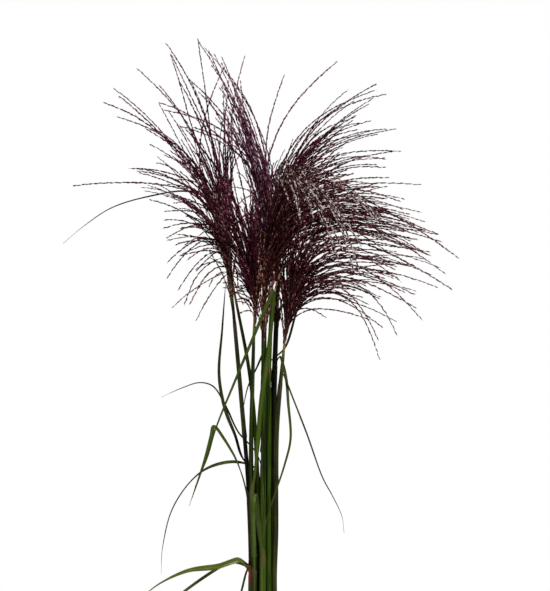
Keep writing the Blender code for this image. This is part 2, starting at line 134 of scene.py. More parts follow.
# Plumes
GAP = 0.0003
RACHIS_BASE_RADIUS = 0.0014
RACHIS_TOP_RADIUS = 0.0007
RACHIS_STEPS = 24
RACHIS_SIDES = 9
RACEME_RADIUS = 0.00050
RACEME_STEPS = 14
LOWEST_RACEME = 0.03
HIGHEST_RACEME = 0.66
SPIKELET_SPACING = 0.0054
SPIKELET_LENGTH = 0.0068
SPIKELET_WIDTH = 0.0022
SPIKELET_SCATTER = 0.0007
BARE_LENGTH = 0.018  # of a raceme's foot, or this share of a short raceme
BARE_SHARE = 0.15
PAIR_STEP = 0.0012  # how far along the second spikelet of a pair sits, for each unit of shift
SPIKELET_PAIR = ((0.02, 0.0, 1.0), (0.07, 1.2, 0.92))  # each one's lean, shift and size
TIP_SHARE = 0.32  # how much of a spikelet's tone comes from its place on its raceme
HAIR_LENGTH = 0.0062
HAIR_WIDTH = 0.00022
LEAVING_SCATTER = 0.09
SWAY = 0.026  # how far a raceme sways and ripples, as shares of its reach
RIPPLE = 0.0035
RIPPLE_RATE = 11
CONE_RACEMES = 20
CONE_TOP = 0.030
CONE_REACH = (0.06, 0.12)
CONE_SPREAD = (0.08, 0.28)
NECK_STEP = 0.09  # a neck of this length doubles the number of the cone's racemes
# how far below the rachis's foot a plume's cone starts
NECKS = {"front": 0.072, "front_left": 0.036, "right_back": 0.112, "left": 0.044, "right_front": 0.022}
TAWNY_TOP = 0.010
USUAL_TAWNY_SHARE = 0.2  # of the racemes at a plume's foot
TAWNY_SHARES = {"left": 0.75, "right_front": 0.35, "front": 0.25, "front_left": 0.30, "right_back": 0}
HANGING_SPOTS = (0.08, 0.40)  # places on the rachis, as shares of it
HANGING_BEND = (0.40, 0.45)  # how closely racemes follow the rachis, and how far out they bend
LONE_SPOTS = (0.45, 0.85)
LONE_ARCH = 0.88
LONE_WEIGHT = 1.12  # how much thicker the racemes that stand out alone are
SPRAY_SPOTS = (0.80, 0.99)
SPRAY_BEND = (0.55, 0.50)
SPRAY_PER_TIP = 2
SPRAY_SCATTER = 0.008
SPRAY_WEIGHT = 1.35
# The places of a raceme's two finishes, glumes and hairs, in its plume's list
MAIN_LOOKS, PALE_LOOKS, CONE_LOOKS, HANGING_LOOKS, TAWNY_LOOKS = (0, 1), (4, 5), (6, 7), (6, 5), (8, 7)
RACHIS_LOOK, AXIS_LOOK = 2, 3

# Stage
FLOOR_RINGS = (0.0, 0.2, 0.5, 1.0, 1.6, 2.2, 2.6)
FLOOR_STEPS = 96
FLOOR_FADE = 0.9  # how far from the pot the floor starts to fade
FLOOR_DROP = 0.0003
WORLD_LIGHT = 0.06
LIT_PLACE = Vector((0, 0, 0.75))

# Finishes

# Each kind of culm: its dark and its light green, and how much of it is tinged purple.
CULM_TONES = {
    "green": ((0.018, 0.044, 0.0020), (0.080, 0.150, 0.008), 0.06),
    "olive": ((0.026, 0.036, 0.0024), (0.100, 0.110, 0.014), 0.12),
    "purple": ((0.014, 0.012, 0.006), (0.040, 0.036, 0.018), 0.34),
    "dark": ((0.005, 0.008, 0.0012), (0.028, 0.038, 0.006), 0.10),
}
# the back culms take the near-black dark kind: painted shade, for culms that stand in shadow behind the
# bundle
CULM_KINDS = {"left": "purple", "right_front": "olive", "back": "dark", "right_back": "dark"}

# Each kind of leaf: its light and its dark green, its veins, the blush at its blade's foot, and how
# far down the sheath the blush starts where it isn't near the collar. On the shaded kind that blush is
# near-black: painted shade on its sheath.
LEAF_TONES = {
    "fresh": ((0.070, 0.140, 0.008), (0.030, 0.068, 0.003), (0.16, 0.22, 0.03), (0.12, 0.13, 0.03)),
    "deep": ((0.036, 0.064, 0.007), (0.014, 0.027, 0.002), (0.075, 0.10, 0.018), (0.10, 0.07, 0.04)),
    "ripe": ((0.150, 0.200, 0.018), (0.070, 0.110, 0.010), (0.36, 0.38, 0.06), (0.52, 0.10, 0.03)),
    "tinged": ((0.070, 0.140, 0.008), (0.030, 0.068, 0.003), (0.16, 0.22, 0.03), (0.05, 0.02, 0.02), -1.2),
    "shaded": ((0.06, 0.11, 0.008), (0.024, 0.05, 0.003), (0.12, 0.17, 0.03), (0.01, 0.014, 0.0025), -1.2),
    "yellowing": ((0.120, 0.165, 0.016), (0.055, 0.090, 0.008), (0.26, 0.28, 0.05), (0.17, 0.12, 0.035)),
}
LEAF_KINDS = {
    "left_kinked": "tinged", "low_broad": "ripe", "low_slanting": "yellowing", "thin_upright": "deep",
    "far_left_flag": "deep", "left_reaching": "deep", "right_behind": "shaded", "thin_crossing": "deep",
    "right_trailing": "deep", "right_hanging": "shaded", "low_thin": "deep"}

# Each kind of glume: its dark, middle and pale tones, and how many glumes are pale.
# The pale glumes are partly their own pale tone and partly painted highlights, for the glints on the
# racemes.
GLUME_TONES = {
    "burgundy": ((0.014, 0.0010, 0.0026), (0.130, 0.0135, 0.0290), (0.52, 0.26, 0.34), 0.20),
    "purple": ((0.030, 0.0028, 0.0110), (0.250, 0.050, 0.120), (0.64, 0.38, 0.52), 0.32),
    "brown": ((0.018, 0.0014, 0.0022), (0.165, 0.0230, 0.0310), (0.56, 0.34, 0.35), 0.24),
    "pale": ((0.034, 0.008, 0.010), (0.180, 0.057, 0.057), (0.90, 0.78, 0.76), 0.44),
    "cone": ((0.024, 0.0018, 0.0022), (0.200, 0.028, 0.022), (0.68, 0.37, 0.27), 0.33),
    "tawny": ((0.060, 0.014, 0.010), (0.330, 0.100, 0.058), (0.76, 0.50, 0.34), 0.40),
}
HAIR_TONES = {
    "pink": ((0.09, 0.018, 0.026), (0.40, 0.22, 0.26)),
    "tan": ((0.12, 0.035, 0.022), (0.50, 0.33, 0.26)),
    "white": ((0.40, 0.28, 0.26), (0.85, 0.78, 0.76)),
}
PLUME_KINDS = {
    "centre": ("purple", "pink"), "left_back": ("purple", "pink"), "right_front": ("brown", "tan"),
    "front": ("brown", "tan")}

# Each culm: its place where it leaves the mix's middle, then the places that it passes through.
CULMS = {
    "left": [(-0.014, -0.002), (-0.017, -0.002, 0.425), (-0.027, -0.004, 0.552), (-0.04, -0.01, 0.698)],
    "left_back": [(-0.006, 0.006), (-0.006, 0.007, 0.45), (-0.015, 0.01, 0.574), (-0.036, 0.014, 0.688)],
    "front_left": [
        (-0.01, -0.009), (-0.014, -0.011, 0.47), (-0.012, -0.013, 0.574), (-0.01, -0.018, 0.646)],
    "centre": [(0.003, -0.002), (0.005, 0, 0.47), (0.013, 0.003, 0.69)],
    "right_front": [(0.016, -0.004), (0.018, -0.005, 0.379), (0.019, -0.007, 0.509), (0.029, -0.012, 0.62)],
    "right_back": [(0.011, 0.006), (0.012, 0.008, 0.45), (0.021, 0.014, 0.712)],
    "front": [(0.001, -0.013), (0.002, -0.015, 0.47), (0.004, -0.022, 0.665)],
    "back": [(0.001, 0.013), (0.002, 0.016, 0.47), (0.002, 0.026, 0.7)],
    "short_left": [(-0.004, -0.003), (-0.008, -0.001, 0.38), (-0.012, 0.001, 0.462)],
    "short_right": [(0.009, -0.008), (0.009, -0.011, 0.47), (0.01, -0.013, 0.6)],
}

# Each leaf: its culm, its collar's height, its sheath's length, its blade's width, the way that the
# blade's upper face looks at the tip, and the places that the blade passes through.
LEAVES = {
    "left_arching": ("left_back", 0.456, 0.12, 0.0045, (0.7, -0.3, 0.6), [
        (-0.037, 0.014, 0.467), (-0.078, 0.018, 0.455), (-0.115, 0.022, 0.41), (-0.13, 0.024, 0.355),
        (-0.132, 0.024, 0.319)]),
    "left_kinked": ("left", 0.42, 0.085, 0.0072, (-0.3, -0.9, 0.2), [
        (-0.029, -0.009, 0.46), (-0.05, -0.013, 0.499), (-0.062, -0.015, 0.514), (-0.065, -0.017, 0.503),
        (-0.074, -0.019, 0.47), (-0.094, -0.022, 0.412)]),
    "long_folded": ("front_left", 0.43, 0.085, 0.0066, (-0.4, -0.9, 0.2), [
        (-0.006, -0.02, 0.48), (0, -0.024, 0.553), (0.009, -0.029, 0.617), (0.015, -0.034, 0.682),
        (0.016, -0.037, 0.69), (0.013, -0.04, 0.685), (-0.007, -0.044, 0.639), (-0.033, -0.046, 0.577),
        (-0.059, -0.044, 0.513), (-0.07, -0.042, 0.475), (-0.086, -0.04, 0.438)]),
    "thin_upright": ("short_left", 0.452, 0.11, 0.0052, (0.2, -1.0, 0.1), [
        (-0.027, 0.006, 0.475), (-0.035, 0.008, 0.501), (-0.048, 0.01, 0.535), (-0.056, 0.012, 0.58),
        (-0.052, 0.014, 0.639), (-0.047, 0.018, 0.706)]),
    "left_reaching": ("back", 0.462, 0.06, 0.004, (0.1, -0.6, 0.8), [
        (-0.01, 0.018, 0.482), (-0.031, 0.02, 0.505), (-0.048, 0.021, 0.54), (-0.064, 0.022, 0.565),
        (-0.081, 0.022, 0.57), (-0.105, 0.022, 0.563), (-0.132, 0.022, 0.551)]),
    "right_behind": ("back", 0.59, 0.11, 0.004, (-0.4, -0.9, 0.2), [
        (0.016, 0.027, 0.602), (0.03, 0.028, 0.615), (0.043, 0.029, 0.655), (0.055, 0.031, 0.7),
        (0.062, 0.033, 0.735)]),
    "right_hanging": ("right_back", 0.588, 0.135, 0.004, (0.3, -1.0, 0.1), [
        (0.0195, 0.013, 0.598), (0.0235, 0.011, 0.604), (0.0275, 0.006, 0.594), (0.032, -0.001, 0.572),
        (0.034, -0.01, 0.545), (0.037, -0.02, 0.499), (0.03, -0.026, 0.468), (0.008, -0.03, 0.401),
        (0.001, -0.03, 0.371)]),
    "right_trailing": ("right_front", 0.572, 0.13, 0.003, (0.5, -0.8, 0.3), [
        (0.0265, -0.006, 0.583), (0.031, -0.005, 0.574), (0.038, -0.003, 0.556), (0.058, 0.002, 0.505),
        (0.079, 0.004, 0.447), (0.092, 0.004, 0.423), (0.104, 0.004, 0.397), (0.107, 0.004, 0.375)]),
    "low_broad": ("left", 0.322, 0.08, 0.0205, (0, -0.75, 0.65), [
        (-0.029, -0.006, 0.339), (-0.04, -0.008, 0.337), (-0.057, -0.01, 0.332), (-0.094, -0.014, 0.328),
        (-0.126, -0.018, 0.315), (-0.148, -0.02, 0.3), (-0.18, -0.024, 0.266)]),
    "low_slanting": ("left_back", 0.31, 0.075, 0.0048, (0.5, -0.35, 0.8), [
        (-0.02, 0.011, 0.33), (-0.04, 0.01, 0.336), (-0.055, 0.006, 0.33), (-0.1, 0, 0.3),
        (-0.145, -0.005, 0.262), (-0.178, -0.008, 0.222)]),
    "low_thin": ("front_left", 0.33, 0.09, 0.003, (0.4, -0.9, 0.1), [
        (-0.018, -0.013, 0.33), (-0.027, -0.015, 0.3), (-0.04, -0.018, 0.262), (-0.047, -0.02, 0.232)]),
    "far_left_flag": ("left", 0.65, 0.15, 0.004, (0.3, -0.5, 0.8), [
        (-0.043, 0.006, 0.7), (-0.05, 0.016, 0.76), (-0.064, 0.022, 0.806), (-0.097, 0.024, 0.82),
        (-0.146, 0.024, 0.814), (-0.196, 0.022, 0.799), (-0.23, 0.02, 0.777), (-0.26, 0.018, 0.752)]),
    "thin_crossing": ("centre", 0.592, 0.13, 0.003, (0.5, -0.8, 0.2), [
        (0.004, -0.002, 0.611), (-0.007, -0.003, 0.59), (-0.018, -0.001, 0.566), (-0.023, 0.003, 0.544),
        (-0.025, 0.004, 0.528)]),
    "back_arching": ("back", 0.385, 0.115, 0.008, (0.2, 0.7, 0.6), [
        (0.003, 0.045, 0.455), (0.004, 0.09, 0.5), (0.004, 0.15, 0.5), (0.002, 0.205, 0.44),
        (0, 0.235, 0.37)]),
    "back_right": ("right_back", 0.42, 0.12, 0.007, (0.2, 0.7, 0.6), [
        (0.014, 0.04, 0.49), (0.016, 0.085, 0.545), (0.016, 0.14, 0.555), (0.014, 0.19, 0.51),
        (0.012, 0.225, 0.44)]),
    "front_arching": ("front", 0.345, 0.095, 0.007, (0.2, -0.7, 0.6), [
        (-0.005, -0.034, 0.395), (-0.008, -0.07, 0.43), (-0.01, -0.115, 0.425), (-0.009, -0.15, 0.375),
        (-0.008, -0.17, 0.31)]),
}

# The lowest leaves all arch over the rim. Each one: its culm, its direction in degrees, its
# collar's height, its reach, its rise above the collar, and its tip's drop below the collar.
LOWEST_LEAVES = {
    "lowest_right_front": ("right_front", -28, 0.222, 0.185, 0.052, 0.070),
    "lowest_right": ("right_back", 14, 0.214, 0.205, 0.048, 0.050),
    "lowest_back": ("back", 76, 0.220, 0.180, 0.038, 0.075),
    "lowest_left_back": ("left_back", 138, 0.212, 0.190, 0.045, 0.060),
    "lowest_left": ("left", 186, 0.224, 0.170, 0.042, 0.085),
    "lowest_front_left": ("front_left", 232, 0.216, 0.190, 0.055, 0.055),
    "lowest_front": ("front", 276, 0.226, 0.175, 0.050, 0.080),
    "lowest_front_right": ("short_right", 318, 0.212, 0.195, 0.058, 0.060),
}
# Their shape: shares of the reach, each with its share of the rise and of the drop.
LOWEST_LEAF_ARCH = [(0.12, 0.62, 0), (0.38, 1, 0), (0.66, 0.70, 0), (0.88, 0, 0.40), (1, 0, 1)]

# Each plume: its rachis's top, how closely its racemes follow the rachis before they leave it, how
# far out they bend over, how many there are, the least share of the way that they reach, how far
# their tips scatter, the tips that they reach for, from the lowest one up, and the lone tips.
PLUMES = {
    "left": ((-0.05, -0.02, 0.805), 0.8, 0.6, 52, 0.5, 0.016, [
        (-0.11, 0.02, 0.69), (-0.122, -0.04, 0.725), (-0.1, 0.06, 0.73), (-0.12, -0.09, 0.757),
        (-0.128, -0.03, 0.77), (-0.13, 0.05, 0.795), (-0.143, -0.06, 0.805), (-0.15, -0.1, 0.82),
        (-0.16, -0.1, 0.845), (-0.131, 0.04, 0.869), (-0.133, -0.12, 0.85), (-0.15, -0.04, 0.9),
        (-0.12, -0.07, 0.92), (-0.085, -0.06, 0.92)], [
        (-0.17, -0.06, 0.846), (-0.205, -0.03, 0.933), (-0.188, -0.08, 0.947), (-0.188, -0.02, 0.915),
        (-0.159, -0.05, 0.975), (-0.12, -0.07, 1.004), (-0.117, -0.06, 0.992), (-0.104, -0.11, 0.955),
        (-0.081, -0.06, 1.012), (-0.047, -0.08, 0.975)]),
    "left_back": ((-0.046, 0.032, 0.8), 0.85, 0.6, 44, 0.5, 0.014, [
        (-0.09, 0.16, 0.78), (-0.143, 0.1, 0.834), (-0.061, 0.15, 0.854), (-0.152, 0.08, 0.886),
        (-0.094, 0.14, 0.9), (-0.06, 0.02, 0.9), (-0.045, 0.04, 0.92), (-0.048, 0.05, 0.93)], [
        (-0.188, 0.03, 0.946), (-0.137, 0.06, 0.962), (-0.093, 0.03, 0.966), (-0.119, 0.05, 1.001),
        (-0.022, 0.05, 0.999), (-0.044, 0.04, 0.972), (-0.05, 0.04, 0.955), (-0.01, 0.1, 0.9)]),
    "front_left": ((-0.018, -0.04, 0.768), 0.66, 0.58, 122, 0.42, 0.011, [
        (0, -0.034, 0.72), (0.002, -0.036, 0.75), (-0.043, -0.04, 0.682), (-0.03, -0.06, 0.678),
        (-0.05, -0.06, 0.7), (-0.036, -0.09, 0.728), (-0.058, -0.06, 0.745), (-0.07, -0.05, 0.765),
        (-0.085, -0.06, 0.795), (-0.06, -0.09, 0.79), (-0.075, -0.07, 0.825), (-0.05, -0.09, 0.81),
        (-0.045, -0.1, 0.84), (-0.08, -0.04, 0.86), (-0.03, -0.08, 0.8), (-0.018, -0.09, 0.79),
        (-0.004, -0.09, 0.8), (-0.01, -0.07, 0.83), (0.004, -0.08, 0.815), (0, -0.06, 0.78)], [
        (-0.134, -0.03, 0.933), (-0.07, -0.05, 0.94), (-0.061, -0.06, 0.9), (-0.1, -0.04, 0.9)]),
    "centre": ((0.002, 0.004, 0.83), 0.95, 0.6, 50, 0.38, 0.008, [
        (-0.081, -0.01, 1.013), (-0.076, -0.002, 1.008), (-0.07, -0.016, 1.002), (-0.061, -0.004, 0.996),
        (-0.053, -0.012, 0.986), (-0.044, 0, 0.974), (-0.036, -0.02, 0.96), (-0.047, -0.04, 0.93),
        (-0.06, -0.03, 0.915), (0.01, 0.02, 0.87), (0.02, -0.02, 0.86)], [
        (-0.134, -0.02, 0.932), (-0.13, 0.01, 0.926), (-0.081, -0.02, 0.946), (-0.095, 0, 0.965),
        (-0.09, -0.03, 0.9), (-0.11, 0, 0.905), (0.028, 0.01, 0.972), (0.099, 0.03, 0.992)]),
    "right_front": ((0.04, -0.03, 0.745), 0.78, 0.6, 124, 0.55, 0.014, [
        (0.019, -0.012, 0.7), (0.022, -0.016, 0.73), (0.026, -0.018, 0.76), (0.152, -0.09, 0.645),
        (0.174, -0.02, 0.65), (0.121, -0.06, 0.68), (0.2, -0.05, 0.668), (0.118, -0.1, 0.69),
        (0.196, -0.08, 0.69), (0.225, -0.03, 0.695), (0.179, -0.09, 0.7), (0.23, -0.01, 0.718),
        (0.209, -0.08, 0.728), (0.15, -0.12, 0.735), (0.127, -0.11, 0.743), (0.105, -0.1, 0.755),
        (0.14, -0.06, 0.765), (0.088, -0.09, 0.77), (0.11, -0.05, 0.785), (0.08, -0.06, 0.79),
        (0.06, -0.09, 0.8), (0.07, -0.03, 0.805), (0.045, -0.06, 0.815), (0.03, -0.06, 0.815)], [
        (0.244, -0.06, 0.692)]),
    "right_back": ((0.024, 0.026, 0.84), 0.92, 0.62, 84, 0.55, 0.014, [
        (0.13, 0.1, 0.821), (0.161, -0.01, 0.825), (0.088, 0.13, 0.86), (0.16, 0.01, 0.851),
        (0.163, 0.08, 0.864), (0.1, 0, 0.87), (0.172, 0.03, 0.873), (0.06, 0.08, 0.89),
        (0.097, 0.09, 0.886), (0.154, 0.1, 0.899), (0.165, 0.06, 0.903), (0.121, 0.07, 0.916),
        (0.14, 0.02, 0.935), (0.12, 0.03, 0.94), (0.147, 0.05, 0.955)], [
        (0.182, 0.03, 0.873), (0.176, 0.06, 0.904), (0.163, 0.02, 0.946), (0.15, 0.04, 0.961)]),
    "front": ((0.022, -0.044, 0.845), 0.84, 0.6, 118, 0.6, 0.014, [
        (0.235, -0.08, 0.712), (0.215, -0.08, 0.735), (0.2, -0.09, 0.755), (0.232, -0.06, 0.752),
        (0.228, -0.04, 0.762), (0.195, -0.03, 0.778), (0.15, -0.11, 0.78), (0.12, -0.12, 0.8),
        (0.205, -0.06, 0.79), (0.181, -0.08, 0.807), (0.16, -0.06, 0.808), (0.049, -0.12, 0.82),
        (0.108, -0.1, 0.828), (0.06, -0.11, 0.85), (0.08, -0.07, 0.85)], [
        (0.249, -0.07, 0.731)]),
    "back": ((0.002, 0.055, 0.8), 0.85, 0.6, 56, 0.45, 0.014, [
        (0.01, 0.22, 0.75), (-0.029, 0.2, 0.79), (0.036, 0.21, 0.8), (-0.061, 0.18, 0.83),
        (0.075, 0.17, 0.84), (0.049, 0.15, 0.87), (-0.035, 0.15, 0.85), (0.03, 0.13, 0.88),
        (0.05, 0.12, 0.895)], []),
}

# The tips of the racemes that hang from the feet of two plumes.
HANGING_TIPS = {
    "left": [
        (-0.113, -0.06, 0.669), (-0.101, -0.02, 0.67), (-0.092, -0.07, 0.672), (-0.084, -0.04, 0.652),
        (-0.087, 0.02, 0.717), (-0.068, -0.06, 0.695), (-0.121, -0.08, 0.753), (-0.112, 0.01, 0.764),
        (-0.071, 0, 0.735), (-0.024, -0.04, 0.672), (-0.03, -0.05, 0.69)],
    "front_left": [
        (-0.034, -0.05, 0.676), (-0.042, -0.06, 0.69), (-0.03, -0.04, 0.66)],
}

# Racemes that stand out alone: each one's place on the rachis, how far it follows the rachis as it
# leaves, how high it arches and its tip.
SINGLE_RACEMES = {
    "left": [(0.95, 0.50, 0.42, (-0.244, -0.020, 0.825))],
    "right_front": [
        (0.34, 0.58, 0.84, (0.151, -0.040, 0.603)), (0.36, 0.58, 0.76, (0.149, -0.070, 0.626)),
        (0.42, 0.58, 0.76, (0.173, -0.060, 0.631)), (0.50, 0.56, 0.72, (0.206, -0.050, 0.652))],
}

# The front plume's spray: the tips of the pale racemes that leave near its top and hang forward; their
# paleness is partly painted highlight.
SPRAY_TIPS = [
    (0.113, -0.15, 0.716), (0.098, -0.15, 0.735), (0.085, -0.155, 0.748), (0.07, -0.15, 0.77),
    (0.036, -0.15, 0.798), (0.147, -0.13, 0.77), (0.125, -0.14, 0.755), (0.055, -0.155, 0.785)]


# ---- Lines ----


def smooth_line(places, steps_per_span):
    """A curve through the places, with the same number of steps in each span."""
    knots = [Vector(place) for place in places]
    knots = [knots[0] * 2 - knots[1], *knots, knots[-1] * 2 - knots[-2]]
    line = []
    for a, b, c, d in zip(knots, knots[1:], knots[2:], knots[3:]):
        before, span, after = (math.sqrt((end - start).length) for start, end in ((a, b), (b, c), (c, d)))
        leave = ((b - a) / before - (c - a) / (before + span) + (c - b) / span) * span
        arrive = ((c - b) / span - (d - b) / (span + after) + (d - c) / after) * span
        for step in range(steps_per_span):
            t = step / steps_per_span
            near = b * (2 * t**3 - 3 * t**2 + 1) + leave * (t**3 - 2 * t**2 + t)
            far = c * (3 * t**2 - 2 * t**3) + arrive * (t**3 - t**2)
            line.append(near + far)
    return [*line, knots[-2]]


def bent_line(start, bend, end, steps):
    """A curve that leaves the start towards the bend and reaches the end from it."""
    shares = [step / steps for step in range(steps + 1)]
    return [start * (1 - t) ** 2 + bend * 2 * t * (1 - t) + end * t**2 for t in shares]


def at_height(line, height):
    """The place on a rising line at that height."""
    for low, high in zip(line, line[1:]):
        if high.z >= height:
            return low.lerp(high, (height - low.z) / (high.z - low.z))
    return line[-1].copy()


def culm_line(name):
    """The culm from its foot in the mix to its top."""
    (x, y), *above = CULMS[name]
    foot = (x * FOOT_SPREAD, y * FOOT_SPREAD, MIX_TOP - SOCKET_DEPTH + GAP)
    return smooth_line([foot, (x, y, WAIST_HEIGHT), *above], CULM_STEPS_PER_SPAN)


def culm_radius(line, height):
    share = (height - line[0].z) / (line[-1].z - line[0].z)
    return CULM_BASE_RADIUS + (CULM_TOP_RADIUS - CULM_BASE_RADIUS) * share


def grown_radius(name, line, height):
    """The culm's radius with the sheaths that wrap it up to the neck under its plume."""
    share = (height - line[0].z) / (line[-1].z - line[0].z)
    sheaths = OLD_SHEATHS + MORE_SHEATHS.get(name, 0) + LOW_SHEATHS * (1 - share)
    return culm_radius(line, height) + sheaths * (1 - share**14)


def ways_along(line):
    neighbours = zip([line[0], *line], [*line[1:], line[-1]])
    return [(after - before).normalized() for before, after in neighbours]


def square_to(look, along):
    return (look - along * look.dot(along)).normalized()


def turning_looks(line, look_first, look_last):
    """The way that a blade's upper face looks at each point: it bends with the line and twists evenly."""
    ways = ways_along(line)
    looks = [square_to(look_first, ways[0])]
    for before, after in zip(ways, ways[1:]):
        looks.append(square_to(before.rotation_difference(after) @ looks[-1], after))
    wanted = square_to(look_last, ways[-1])
    twist = math.atan2(looks[-1].cross(wanted).dot(ways[-1]), looks[-1].dot(wanted))
    reached = np.cumsum([0, *((after - before).length for before, after in zip(line, line[1:]))])
    turns = [twist * min(1, way / (reached[-1] * TWIST_SHARE)) for way in reached]
    return [Quaternion(way, turn) @ look for way, turn, look in zip(ways, turns, looks)]


# ---- Meshes ----


class Pile:
    """Closed shapes gathered into one mesh, each with its material and three values for its nodes.

    shade is a random value for each small shape, along runs from a shape's root to its tip, and
    across runs over a blade's width or round a tube.
    """

    def __init__(self):
        self.points, self.corners, self.sizes, self.looks = [], [], [], []
        self.shades, self.alongs, self.acrosses = [], [], []
        self.count = 0

    def add(self, points, faces, look=0, shade=0.0, along=0.0, across=0.0):
        points = np.asarray(points, float).reshape(-1, 3)
        for values, value in ((self.shades, shade), (self.alongs, along), (self.acrosses, across)):
            values.append(np.broadcast_to(np.asarray(value, float), len(points)))
        self.points.append(points)
        for group in faces:
            self.corners.append((group + self.count).ravel())
            self.sizes.append(np.full(len(group), group.shape[1]))
            self.looks.append(np.full(len(group), look))
        self.count += len(points)

    def build(self, name, materials):
        mesh = bpy.data.meshes.new(name)
        points, corners = np.concatenate(self.points), np.concatenate(self.corners)
        sizes = np.concatenate(self.sizes)
        mesh.vertices.add(len(points))
        mesh.vertices.foreach_set("co", points.astype(np.float32).ravel())
        mesh.loops.add(len(corners))
        mesh.loops.foreach_set("vertex_index", corners.astype(np.int32))
        mesh.polygons.add(len(sizes))
        mesh.polygons.foreach_set("loop_start", (np.cumsum(sizes) - sizes).astype(np.int32))
        mesh.polygons.foreach_set("material_index", np.concatenate(self.looks).astype(np.int32))
        for kind, values in (("shade", self.shades), ("along", self.alongs), ("across", self.acrosses)):
            layer = mesh.attributes.new(kind, "FLOAT", "POINT")
            layer.data.foreach_set("value", np.concatenate(values).astype(np.float32))
        for material in materials:
            mesh.materials.append(material)
        mesh.update(calc_edges=True)
        mesh.shade_smooth()
        return in_scene(name, mesh)


def in_scene(name, data):
    obj = bpy.data.objects.new(name, data)
    bpy.context.scene.collection.objects.link(obj)
    return obj


def skin(rings, sides):
    """Quads between rings that follow each other, and quads or a triangle that close both ends."""
    start = np.arange(rings - 1)[:, None] * sides
    side = np.arange(sides)[None, :]
    after = (side + 1) % sides
    corners = (start + side, start + after, start + after + sides, start + side + sides)
    groups = [np.stack(np.broadcast_arrays(*corners), -1).reshape(-1, 4)]
    if sides == 3:
        cap = np.array([[0, 1, 2]])
    else:
        j = np.arange(sides // 2 - 1)
        cap = np.stack([j, j + 1, sides - 2 - j, sides - 1 - j], -1)
    groups.append(cap[:, ::-1])
    groups.append(cap + (rings - 1) * sides)
    return groups


def unit_rows(rows):
    return rows / np.linalg.norm(rows, axis=1)[:, None]


def tube(pile, line, radii, sides, reference, look=0, shade=0.0, along=(0.0, 1.0)):
    """A closed round tube. The reference is any direction that the line never follows."""
    centres = np.array(line)
    ways = unit_rows(np.gradient(centres, axis=0))
    side = unit_rows(np.cross(np.asarray(reference, float), ways))
    other = np.cross(ways, side)
    turns = np.arange(sides) * math.tau / sides
    round_it = side[:, None] * np.cos(turns)[None, :, None] + other[:, None] * np.sin(turns)[None, :, None]
    points = centres[:, None] + round_it * np.asarray(radii, float)[:, None, None]
    shares = np.repeat(np.linspace(*along, len(centres)), sides)
    across = np.tile(turns / math.tau, len(centres))
    pile.add(points, skin(len(centres), sides), look, shade, shares, across)


def spindle(shares, radii, sides):
    """A closed shape that is pointed at both ends, along its first axis from 0 to 1."""
    turns = np.arange(sides) * math.tau / sides
    rings = [
        np.stack([np.full(sides, share), radius * np.cos(turns), radius * np.sin(turns)], -1)
        for share, radius in zip(shares, radii)]
    points = np.concatenate([[[0, 0, 0]], *rings, [[1, 0, 0]]])
    side, after = np.arange(sides), (np.arange(sides) + 1) % sides
    foot = np.stack([np.zeros(sides, int), after + 1, side + 1], -1)
    top_ring = 1 + (len(shares) - 1) * sides
    top = np.stack([side + top_ring, after + top_ring, np.full(sides, len(points) - 1)], -1)
    faces = [foot, top]
    for ring in range(len(shares) - 1):
        low = 1 + ring * sides
        faces.append(np.stack([side + low, after + low, after + low + sides, side + low + sides], -1))
    return points, faces


def needle():
    """A closed sliver with three sides, along its first axis from 0 to 1."""
    turns = np.arange(3) * math.tau / 3
    foot = np.stack([np.zeros(3), np.cos(turns), np.sin(turns)], -1)
    points = np.concatenate([foot, [[1, 0, 0]]])
    return points, [np.array([[2, 1, 0], [0, 1, 3], [1, 2, 3], [2, 0, 3]])]


SPIKELET = spindle((0.24, 0.62), (0.9, 1.0), 3)
NEEDLE = needle()


def ribbon(pile, line, looks, halves, curls, thicknesses, along, shade, look=0, wave=0.0):
    """A leaf's closed strip. It lies on the line with its midrib, and curls up at its sides.

    Each thickness is a pair: at the edges and at the midrib.
    """
    ways, looks = np.array(ways_along(line)), np.array(looks)
    sides = np.cross(looks, ways)
    u = np.linspace(-1, 1, BLADE_COLUMNS)[None, :, None]
    half, curl = np.asarray(halves)[:, None, None], np.asarray(curls)[:, None, None]
    turn = curl * half * u
    out, up = np.sin(turn) / curl, (1 - np.cos(turn)) / curl
    length = np.concatenate([[0], np.cumsum(np.linalg.norm(np.diff(np.array(line), axis=0), axis=1))])
    swing = np.sin(length[:, None] * WAVE_RATE + np.sign(u[..., 0]) * 1.3)
    ripple = wave * half * np.abs(u) ** 3 * swing[..., None]
    sides, looks = sides[:, None], looks[:, None]
    top = np.array(line)[:, None] + sides * out + looks * (up + ripple)
    normals = looks * np.cos(turn) - sides * np.sin(turn)
    thin, thick = np.asarray(thicknesses).T[:, :, None, None]
    midrib = np.exp(-((u * half / MIDRIB_WIDTH) ** 2))
    bottom = top - normals * (thin + (thick - thin) * midrib)
    rings = np.concatenate([top, bottom[:, ::-1]], axis=1)
    count = 2 * BLADE_COLUMNS
    across = np.tile(np.concatenate([u.ravel(), u.ravel()[::-1]]), len(line))
    faces = [group[:, ::-1] for group in skin(len(line), count)]
    pile.add(rings, faces, look, shade, np.repeat(along, count), across)


# ---- Materials ----


